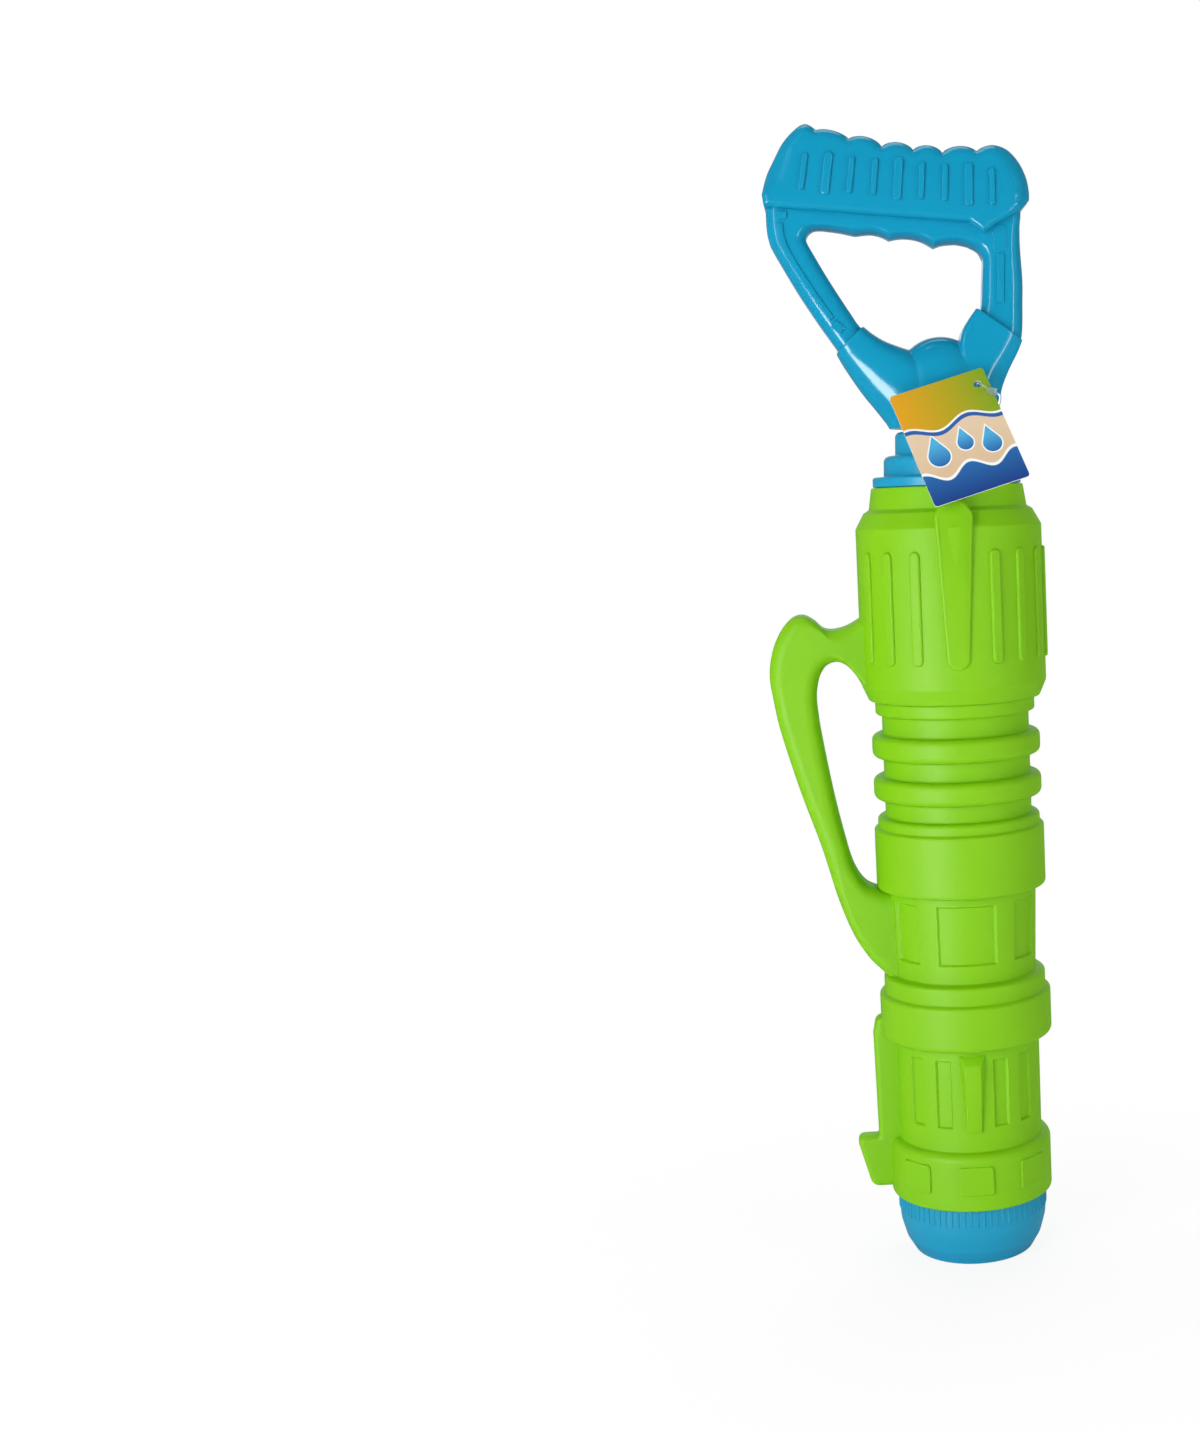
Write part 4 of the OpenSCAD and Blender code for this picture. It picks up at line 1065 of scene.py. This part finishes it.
class SQUIRTER_OT_caps(bpy.types.Operator):
    """Builds the stepped top cap and the knurled nozzle cap"""

    bl_idname = "squirter.caps"
    bl_label = "Caps"

    def execute(self, context):
        top = mesh_of("top_cap", *revolved(rounded(TOP_CAP)))
        place("stepped_top_cap", top, FINISH["cap"], "barrel", ("top_cap",))
        body = mesh_of("nozzle_cap", *revolved(rounded(CAP_OUTSIDE, steps=6), 180))
        place("knurled_nozzle_cap", body, FINISH["cap"], "nozzle", ("nozzle_cap",))
        count = context.scene.squirter_sizes.knurls
        knurls = repeated(block_pad(KNURL, steps=2), round_tree(), Material=FINISH["cap"], Count=count,
                          First_Turn=0.0, Turn_Step=math.tau / count)
        place("nozzle_knurls", knurls, FINISH["cap"], "nozzle", sharp=60)
        return {"FINISHED"}


def handle_frame(edge):
    """The handle's two legs and bar as one moulded band round the finger opening."""
    sides = []
    for k in (0, 1):
        runs = [respaced(curve_through(run[k], 8), run[2])[:-1] for run in FRAME_RUNS]
        sides.append(np.concatenate([*runs, FRAME_RUNS[-1][k][-1:]]))
    shares, radii, deeper = FRAME_OPENING_EDGE

    def ring(w, share):
        radius, deep = (np.interp(share, shares, row) for row in (radii, deeper))
        return section(w, FRAME_DEPTH, (edge, radius), deep)

    return mesh_of("handle_frame", *lofted(*sides, ring))


def hub():
    """The yoke's hub: a round dome with an almost flat front and back."""
    rows, columns = HUB_MESH
    around = np.linspace(0, math.tau, columns, endpoint=False)
    rings = []
    for v in np.linspace(HUB_POLE, math.pi - HUB_POLE, rows):
        reach = math.sin(v) ** (2 / HUB_SQUARENESS)
        deep = math.copysign(abs(math.cos(v)) ** (2 / HUB_SQUARENESS), -math.cos(v))
        rings.append(HUB_AT + points_of(reach * np.cos(around), deep, reach * np.sin(around)) * HUB_R)
    return mesh_of("hub", *capped(rings))


def yoke():
    """The yoke: two sockets, a domed hub and a neck, grown together as one moulding and cut flat below."""
    left, right = (
        [curve_through(side, 4) for side in zip(*pairs)] for pairs in (LEFT_SOCKET, RIGHT_SOCKET))
    parts = [
        mesh_of("left_socket", *lofted(*left, lambda _, share: oval(share, LEFT_SOCKET_FORM))),
        mesh_of("right_socket", *lofted(*right, bevelled)),
        mesh_of("neck", *revolved(rounded(YOKE_NECK, steps=6, closed=False), 96)),
        hub(),
    ]

    def grow(obj):
        skin = obj.modifiers.new("Skin", "REMESH")
        skin.mode = "VOXEL"
        skin.voxel_size = YOKE_GRID * MM
        soft = obj.modifiers.new("Soft", "SMOOTH")
        soft.factor, soft.iterations = YOKE_SOFT

    grown = evaluated("yoke", joined("yoke", parts), grow)
    with opened(grown) as bm:
        cut = bmesh.ops.bisect_plane(
            bm, geom=bm.verts[:] + bm.edges[:] + bm.faces[:], dist=ON_PLANE,
            plane_co=(0, 0, YOKE_FOOT * MM), plane_no=(0, 0, -1), clear_outer=True)
        rim = [e for e in cut["geom_cut"] if isinstance(e, bmesh.types.BMEdge)]
        bmesh.ops.edgeloop_fill(bm, edges=rim)
    return grown


def trim_strip(centre_line, width, height, foot=TRIM_FOOT, corner=TRIM_CORNER):
    """A low raised strip on the handle's front face, along a line."""
    line = np.array(centre_line, float)
    along = unit(np.gradient(line, axis=0))
    side = points_of(-along[:, 1], along[:, 0]) * width / 2
    loop = np.concatenate([line - side, (line + side)[::-1]])
    ends = {0, len(line) - 1, len(line), 2 * len(line) - 1}
    path = rounded([(x, z, corner if i in ends else 0) for i, (x, z) in enumerate(loop)], steps=3, hold=0.1)
    return mesh_of("strip", *slab(path, foot - height, foot + TRIM_SINK, TRIM_EDGE, steps=3))


def clear_runs(line, screws, gap=5.2, step=1.6):
    """The stretches of a line that stay clear of the screws."""
    length = np.linalg.norm(np.diff(line, axis=0), axis=1).sum()
    pts = respaced(line, max(2, int(length / step)))
    clear = np.all([np.linalg.norm(pts - at, axis=1) > gap for at, _ in screws], axis=0)
    ends = np.flatnonzero(np.diff(clear)) + 1
    return [run for run, free in zip(np.split(pts, ends), np.split(clear, ends)) if free[0]]


class SQUIRTER_OT_handle(bpy.types.Operator):
    """Builds the plunger handle: frame, yoke and raised trim"""

    bl_idname = "squirter.handle"
    bl_label = "Plunger Handle"

    def execute(self, context):
        sizes = context.scene.squirter_sizes
        halves = ("handle_front", "handle_rear")
        body = parted(drilled(handle_frame(sizes.frame_edge / MM), SCREWS_FRAME), sizes.parting)
        place("handle_frame", body, FINISH["trim"], "plunger", halves)
        socket = parted(drilled(yoke(), SCREWS_YOKE), sizes.parting)
        place("handle_yoke", socket, FINISH["trim"], "plunger", halves, sharp=45)
        strips = [(curve_through(TRIM_LONG, 5), *TRIM_LONG_SIZE), *TRIM_SHORT]
        front = [trim_strip(*strip) for strip in strips]
        rear = [flipped(trim_strip(run, width, height))
                for line, width, height in strips for run in clear_runs(line, SCREWS_FRAME)]
        place("handle_trim", joined("handle_trim", front + rear), FINISH["trim"], "plunger",
              sharp=40)
        return {"FINISHED"}


def grip_outline():
    """The grip's outline, counter-clockwise, and its edge radius at each point."""
    low = rounded(GRIP_LOW, steps=6, closed=False)
    low = np.concatenate([
        respaced(pair, max(1, int(np.linalg.norm(pair[1] - pair[0]) / GRIP_LOW_STEP)))[:-1]
        for pair in zip(low, low[1:])])
    top = [curve_through(GRIP_RIGHT_END, 5)[:-1]]
    t = np.arange(SCALLOP_STEPS)[:, None] / SCALLOP_STEPS
    for a, b, rise in zip(GRIP_CUSPS, GRIP_CUSPS[1:], GRIP_RISE):
        along = np.subtract(b, a)
        up = np.array((along[1], -along[0])) / np.linalg.norm(along)
        top.append(a + along * t + up * rise * (4 * t * (1 - t)) ** SCALLOP_POWER)
    path = np.concatenate([low, *top, curve_through(GRIP_LEFT_END, 5)[:-1]])
    x, z = path.T
    height, fall = GRIP_SOFT_LINE
    above = smooth_rise(z - (height - fall * x), *GRIP_SOFT_RISE)
    left = smooth_rise(-x, *GRIP_LEFT_RUN) * smooth_rise(-z, *GRIP_LEFT_RISE)
    ends = np.maximum(left, smooth_rise(x, *GRIP_RIGHT_RUN))
    below, scallop, end = GRIP_EDGES
    return path, below + (scallop + (end - scallop) * ends - below) * above


def from_outline(points, path, edges):
    """How far each point lies from a closed path, and the edge radius at the nearest place on it."""
    along = np.roll(path, -1, axis=0) - path
    share = np.clip(((points[:, None] - path) * along).sum(2) / (along ** 2).sum(1), 0, 1)
    gaps = np.linalg.norm(points[:, None] - path - along * share[..., None], axis=2)
    near = gaps.argmin(1)
    rows = np.arange(len(points))
    step = np.roll(edges, -1) - edges
    return gaps[rows, near], edges[near] + step[near] * share[rows, near]


def grip_body():
    """The grip: two gently crowned faces that round off towards the outline, joined by its side wall."""
    path, edges = grip_outline()
    loose = []
    for turn in np.linspace(0, math.pi / 2, 9)[1:]:
        drawn = edges * (1 - math.cos(turn))
        ring = inset_path(path, drawn)
        # Points that crossed over at a cusp lie too near the outline, and are left out
        loose.append(ring[from_outline(ring, path, edges)[0] > 0.97 * drawn])
    spread = (np.arange(*ends, GRIP_FIELD_STEP) for ends in (GRIP_FIELD_X, GRIP_FIELD_Z))
    field = np.stack(np.meshgrid(*spread), axis=-1).reshape(-1, 2)
    gap, radius = from_outline(field, path, edges)
    loose.append(field[gap > radius + 1.0])
    count = len(path)
    rim = [(i, (i + 1) % count) for i in range(count)]
    flat = [Vector(p) for p in np.concatenate([path, *loose])]
    inside, _, faces, sources, *_ = delaunay_2d_cdt(flat, rim, [], 1, 1e-4)
    at = np.array(inside)
    gap, radius = from_outline(at, path, edges)
    drop = 1 - np.sqrt(1 - np.clip(1 - gap / radius, 0, 1) ** 2)
    y = GRIP_DEPTH - radius * drop + GRIP_CROWN * smooth_rise(gap - radius, 0.0, GRIP_CROWN_RUN)
    pts = np.concatenate([points_of(at[:, 0], side * y, at[:, 1]) for side in (-1, 1)])
    found = {source: k for k, given in enumerate(sources) for source in given}
    wall = [(found[i], found[j], found[j] + len(at), found[i] + len(at)) for i, j in rim]
    rear = [tuple(k + len(at) for k in face) for face in faces]
    return mesh_of("grip", pts, [tuple(face) for face in faces] + rear + wall)


class SQUIRTER_OT_grip(bpy.types.Operator):
    """Builds the scalloped grip and the ribs across its faces"""

    bl_idname = "squirter.grip"
    bl_label = "Grip"

    def execute(self, context):
        body = parted(drilled(grip_body(), SCREWS_GRIP), context.scene.squirter_sizes.parting)
        place("handle_grip", body, FINISH["trim"], "plunger", ("grip_front", "grip_rear"),
              sharp=40)
        tree = row_tree()
        lean, lean_step = (math.radians(a) for a in GRIP_RIB_LEAN)
        sides = []
        for width, first, wide in GRIP_RIB_SIDES:
            rib = trim_strip(GRIP_RIB_LINE, width, GRIP_RIB_HEIGHT, GRIP_RIB_FOOT, GRIP_RIB_CORNER * width)
            sides.append(repeated(
                rib, tree, Material=FINISH["trim"], Count=GRIP_RIB_COUNT,
                Start=(first * MM, 0.0, GRIP_RIB_Z * MM), Step=tuple(c * MM for c in GRIP_RIB_STEP),
                First_Lean=lean, Lean_Step=lean_step, Wide_Scale=wide))
        front, rear = sides
        place("grip_ribs", joined("grip_ribs", [front, flipped(rear)]), FINISH["trim"], "plunger",
              sharp=40)
        return {"FINISHED"}


def card_matrix():
    """From the card's own plane, with +Z towards the viewer, to the frame."""
    return (Matrix.Translation(Vector(CARD_AT))
            @ Matrix.Rotation(math.radians(90 - CARD_TILT), 4, "X")
            @ Matrix.Rotation(math.radians(CARD_TURN), 4, "Z"))


class SQUIRTER_OT_tag(bpy.types.Operator):
    """Builds the printed hang tag and the clear tie that holds it"""

    bl_idname = "squirter.tag"
    bl_label = "Hang Tag"

    def execute(self, context):
        to_frame = card_matrix()
        self.build_card(to_frame)
        self.build_tie(to_frame)
        return {"FINISHED"}

    def build_card(self, to_frame):
        """A thin card with round corners and a hole, printed in front, whose UV map is in millimetres."""
        w, h = CARD_HALF
        edge = rounded([(x, y, CARD_CORNER) for x, y in ((-w, -h), (w, -h), (w, h), (-w, h))], steps=4)
        turn = np.linspace(0, math.tau, 24, endpoint=False)
        hole = CARD_HOLE + CARD_HOLE_R * points_of(np.cos(turn), np.sin(turn))
        card = bpy.data.meshes.new("hang_card")
        with opened(card) as bm:
            layer = bm.loops.layers.uv.new("UVMap")
            for z, finish in ((CARD_THICK, 0), (0.0, 1)):
                rims = []
                for loop in (edge, hole):
                    verts = [bm.verts.new((x, y, z)) for x, y in loop]
                    rims += [bm.edges.new((a, b)) for a, b in zip(verts, verts[1:] + verts[:1])]
                made = bmesh.ops.triangle_fill(bm, edges=rims, use_beauty=True)
                for face in made["geom"]:
                    if isinstance(face, bmesh.types.BMFace):
                        face.material_index = finish
                        for corner in face.loops:
                            corner[layer].uv = corner.vert.co.xy
            bm.verts.ensure_lookup_table()
            total = len(edge) + len(hole)
            for start, count in ((0, len(edge)), (len(edge), len(hole))):
                for i in range(count):
                    a, b = start + i, start + (i + 1) % count
                    face = bm.faces.new([bm.verts[k] for k in (a, b, total + b, total + a)])
                    face.material_index = 1
            bmesh.ops.recalc_face_normals(bm, faces=bm.faces)
            bmesh.ops.transform(bm, matrix=Matrix.Scale(MM, 4) @ to_frame, verts=bm.verts)
        card.materials.append(FINISH["print"])
        card.materials.append(FINISH["board"])
        place("hang_card", card, FINISH["print"], "tag", ("hang_tag",))

    def build_tie(self, to_frame):
        """A clear filament loop round the rod, through the card's hole and its lock."""
        over = [Vector((CARD_HOLE[0] + x, CARD_HOLE[1] + y, z)) for x, y, z in TIE_OVER]
        arc = [(TIE_RING_R * math.cos(math.radians(a)), TIE_RING_R * math.sin(math.radians(a)), TIE_Z)
               for a in TIE_ARC]
        route = np.array([*arc, *TIE_UP, *[tuple(to_frame @ p) for p in over], *TIE_DOWN], float)
        ring = np.concatenate([route[-2:], route, route[:2]])
        path = curve_through(ring, 6)[12:-18]
        along = unit(np.roll(path, -1, axis=0) - np.roll(path, 1, axis=0))
        side = unit(np.cross(along, TIE_ACROSS))
        up = np.cross(along, side)
        turn = np.linspace(0, math.tau, 10, endpoint=False)
        pts = [p + TIE_R * (s * math.cos(a) + u * math.sin(a))
               for p, s, u in zip(path, side, up) for a in turn]
        loop = mesh_of("tie_loop", pts, grid_faces(len(path), len(turn)))
        lock = bpy.data.meshes.new("tie_lock")
        shape = (Matrix.Scale(MM, 4) @ to_frame @ Matrix.Translation(over[TIE_LOCK_POINT])
                 @ Matrix.Rotation(math.radians(TIE_LOCK_TURN), 4, "Z")
                 @ Matrix.Diagonal((*TIE_LOCK_SIZE, 1.0)))
        with opened(lock) as bm:
            bmesh.ops.create_cube(bm, size=1.0)
            bmesh.ops.transform(bm, matrix=shape, verts=bm.verts)
            bevel_all(bm, TIE_LOCK_EDGE)
        place("tie_loop", joined("tie_loop", [loop, lock]), FINISH["nylon"], "plunger",
              ("tag_tie",), sharp=60)


class SQUIRTER_OT_inner_parts(bpy.types.Operator):
    """Gives the pump's own CAD pieces their finishes"""

    bl_idname = "squirter.inner_parts"
    bl_label = "Pump Parts"

    def execute(self, context):
        wear = {
            "trim": ("plunger_rod",),
            "white": ("rod_guide", "pump_tube", "tube_base", "piston", "rod_plug"),
            "rubber": ("nozzle_gasket", "piston_rings"),
            "steel": ("piston_screw", "piston_washer", "rod_pin", "handle_screws"),
        }
        for finish, names in wear.items():
            for name in names:
                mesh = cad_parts[name].data
                mesh.materials.clear()
                mesh.materials.append(FINISH[finish])
        return {"FINISHED"}


class SQUIRTER_OT_stage(bpy.types.Operator):
    """Builds the camera, the floor, the lamps and the white world"""

    bl_idname = "squirter.stage"
    bl_label = "Stage"

    def execute(self, context):
        scene = context.scene
        scene.view_settings.view_transform = "Standard"
        self.aim_camera(scene)
        self.lay_floor(scene)
        self.hang_lamps(scene)
        self.light_world(scene)
        return {"FINISHED"}

    def aim_camera(self, scene):
        """The photograph's viewpoint, a little left of the front and level with the head."""
        data = bpy.data.cameras.new("Photo Camera")
        data.sensor_width = 36.0
        data.lens = CAMERA_LENS
        data.shift_x = CAMERA_SHIFT
        data.clip_start = 0.01
        camera = bpy.data.objects.new("Photo Camera", data)
        turn = (Matrix.Rotation(math.radians(CAMERA_TURN), 4, "Z")
                @ Matrix.Rotation(math.radians(90 + CAMERA_PITCH), 4, "X")
                @ Matrix.Rotation(math.radians(CAMERA_ROLL), 4, "Z"))
        camera.matrix_world = Matrix.Translation(Vector(CAMERA_AT) * MM) @ turn
        scene.collection.objects.link(camera)
        scene.camera = camera

    def lay_floor(self, scene):
        """A pale floor that keeps the squirter's soft shadow and fades to white."""
        mesh = bpy.data.meshes.new("studio_floor")
        with opened(mesh) as bm:
            bmesh.ops.create_circle(bm, cap_ends=True, segments=96, radius=FLOOR_R)
        material = bpy.data.materials.new("white_studio_floor")
        material.use_nodes = True
        tree = material.node_tree
        tree.nodes.clear()
        from_camera, seen = self.seen_rays(tree)
        spot = add_node(tree, "ShaderNodeTexCoord").outputs["Object"]
        reach = add_node(tree, "ShaderNodeVectorMath", {0: spot}, operation="LENGTH")
        start, end, least = FLOOR_FADE
        fade = add_node(tree, "ShaderNodeMapRange", {
            "Value": reach.outputs["Value"], "From Min": start, "From Max": end, "To Min": least,
            "To Max": 1.0}, interpolation_type="SMOOTHSTEP")
        share = add_node(tree, "ShaderNodeMath", {0: fade.outputs["Result"], 1: seen}, operation="MULTIPLY")
        matt = add_node(tree, "ShaderNodeBsdfDiffuse", {"Color": linear("#FAFAFA")})
        deep = add_node(tree, "ShaderNodeSeparateXYZ", {"Vector": spot}).outputs["Y"]
        start, end = FLOOR_WHITE
        near = add_node(tree, "ShaderNodeMapRange", {
            "Value": deep, "From Min": start, "From Max": end, "To Min": ROOM_SEEN[2],
            "To Max": 1.0}, interpolation_type="SMOOTHSTEP")
        glow = add_node(tree, "ShaderNodeMath", {
            0: near.outputs["Result"], 1: from_camera}, operation="MAXIMUM")
        white = add_node(tree, "ShaderNodeEmission", {
            "Color": (1.0, 1.0, 1.0, 1.0), "Strength": glow.outputs["Value"]})
        mix = add_node(tree, "ShaderNodeMixShader", {
            0: share.outputs["Value"], 1: matt.outputs["BSDF"], 2: white.outputs["Emission"]})
        add_node(tree, "ShaderNodeOutputMaterial", {"Surface": mix.outputs["Shader"]})
        mesh.materials.append(material)
        floor = bpy.data.objects.new("studio_floor", mesh)
        scene.collection.objects.link(floor)

    def hang_lamps(self, scene):
        """Broad lamps that light the colours, and small ones whose reflections draw the glossy edges."""
        for name, at, size, power, lights, glints in LAMPS:
            data = bpy.data.lights.new(name, "AREA")
            data.shape = "RECTANGLE"
            data.size, data.size_y = size
            data.energy = power
            lamp = bpy.data.objects.new(name, data)
            lamp.location = at
            lamp.visible_diffuse = lights
            lamp.visible_glossy = glints
            lamp.rotation_euler = (Vector(LAMP_AIM) - Vector(at)).to_track_quat("-Z", "Y").to_euler()
            scene.collection.objects.link(lamp)

    def light_world(self, scene):
        """A world that shows white and lights the squirter evenly at a plain level."""
        world = bpy.data.worlds.new("White Studio")
        world.use_nodes = True
        tree = world.node_tree
        tree.nodes.clear()
        from_camera, seen = self.seen_rays(tree)
        toward = add_node(tree, "ShaderNodeTexCoord").outputs["Generated"]
        depth = add_node(tree, "ShaderNodeVectorMath", {
            0: toward, 1: ROOM_LIGHT_SIDE}, operation="DOT_PRODUCT")
        soft, clear = (add_node(tree, "ShaderNodeMapRange", {
            "Value": depth.outputs["Value"], "From Min": low, "From Max": high, "To Min": dim,
            "To Max": 1.0}, interpolation_type="SMOOTHSTEP").outputs["Result"]
            for low, high, dim in (ROOM_LIT, ROOM_SEEN))
        unseen = add_node(tree, "ShaderNodeMath", {0: soft, 1: WORLD_LEVEL}, operation="MULTIPLY")
        mirrored = add_node(tree, "ShaderNodeMath", {0: clear, 1: from_camera}, operation="MAXIMUM")
        level = add_node(tree, "ShaderNodeMix", {
            0: seen, 2: unseen.outputs["Value"], 3: mirrored.outputs["Value"]})
        glow = add_node(tree, "ShaderNodeBackground", {
            "Color": (1.0, 1.0, 1.0, 1.0), "Strength": level.outputs[0]})
        add_node(tree, "ShaderNodeOutputWorld", {"Surface": glow.outputs["Background"]})
        scene.world = world

    def seen_rays(self, tree):
        """Whether a ray comes from the camera, and whether from the camera, a gloss or a clear piece."""
        path = add_node(tree, "ShaderNodeLightPath").outputs
        seen = path["Is Camera Ray"]
        for kind in ("Is Glossy Ray", "Is Transmission Ray"):
            seen = add_node(tree, "ShaderNodeMath", {
                0: seen, 1: path[kind]}, operation="MAXIMUM").outputs["Value"]
        return path["Is Camera Ray"], seen


OPERATORS = (
    SQUIRTER_OT_stage, SQUIRTER_OT_barrel, SQUIRTER_OT_barrel_relief, SQUIRTER_OT_side_handle,
    SQUIRTER_OT_caps, SQUIRTER_OT_handle, SQUIRTER_OT_grip, SQUIRTER_OT_tag, SQUIRTER_OT_inner_parts,
)


class SQUIRTER_PT_panel(bpy.types.Panel):
    """Lists the squirter's sizes, colours and pieces"""

    bl_idname = "SQUIRTER_PT_panel"
    bl_label = "Water Squirter"
    bl_space_type = "VIEW_3D"
    bl_region_type = "UI"
    bl_category = "Squirter"

    def draw(self, context):
        for group in (context.scene.squirter_sizes, context.scene.squirter_colours):
            box = self.layout.box()
            for name in group.bl_rna.properties.keys():
                if name not in ("rna_type", "name"):
                    box.prop(group, name)
        for operator in OPERATORS:
            self.layout.operator(operator.bl_idname)


CLASSES = (SquirterSizes, SquirterColours, *OPERATORS, SQUIRTER_PT_panel)


def register():
    """Adds the classes and their settings."""
    for kind in CLASSES:
        bpy.utils.register_class(kind)
    bpy.types.Scene.squirter_sizes = bpy.props.PointerProperty(type=SquirterSizes)
    bpy.types.Scene.squirter_colours = bpy.props.PointerProperty(type=SquirterColours)


def unregister():
    """Removes the classes and their settings."""
    del bpy.types.Scene.squirter_colours
    del bpy.types.Scene.squirter_sizes
    for kind in reversed(CLASSES):
        bpy.utils.unregister_class(kind)


def main():
    register()
    make_finishes()
    bpy.ops.squirter.stage()
    bpy.ops.squirter.barrel()
    bpy.ops.squirter.barrel_relief()
    bpy.ops.squirter.side_handle()
    bpy.ops.squirter.caps()
    bpy.ops.squirter.handle()
    bpy.ops.squirter.grip()
    bpy.ops.squirter.tag()
    bpy.ops.squirter.inner_parts()


if __name__ == "__main__":
    main()
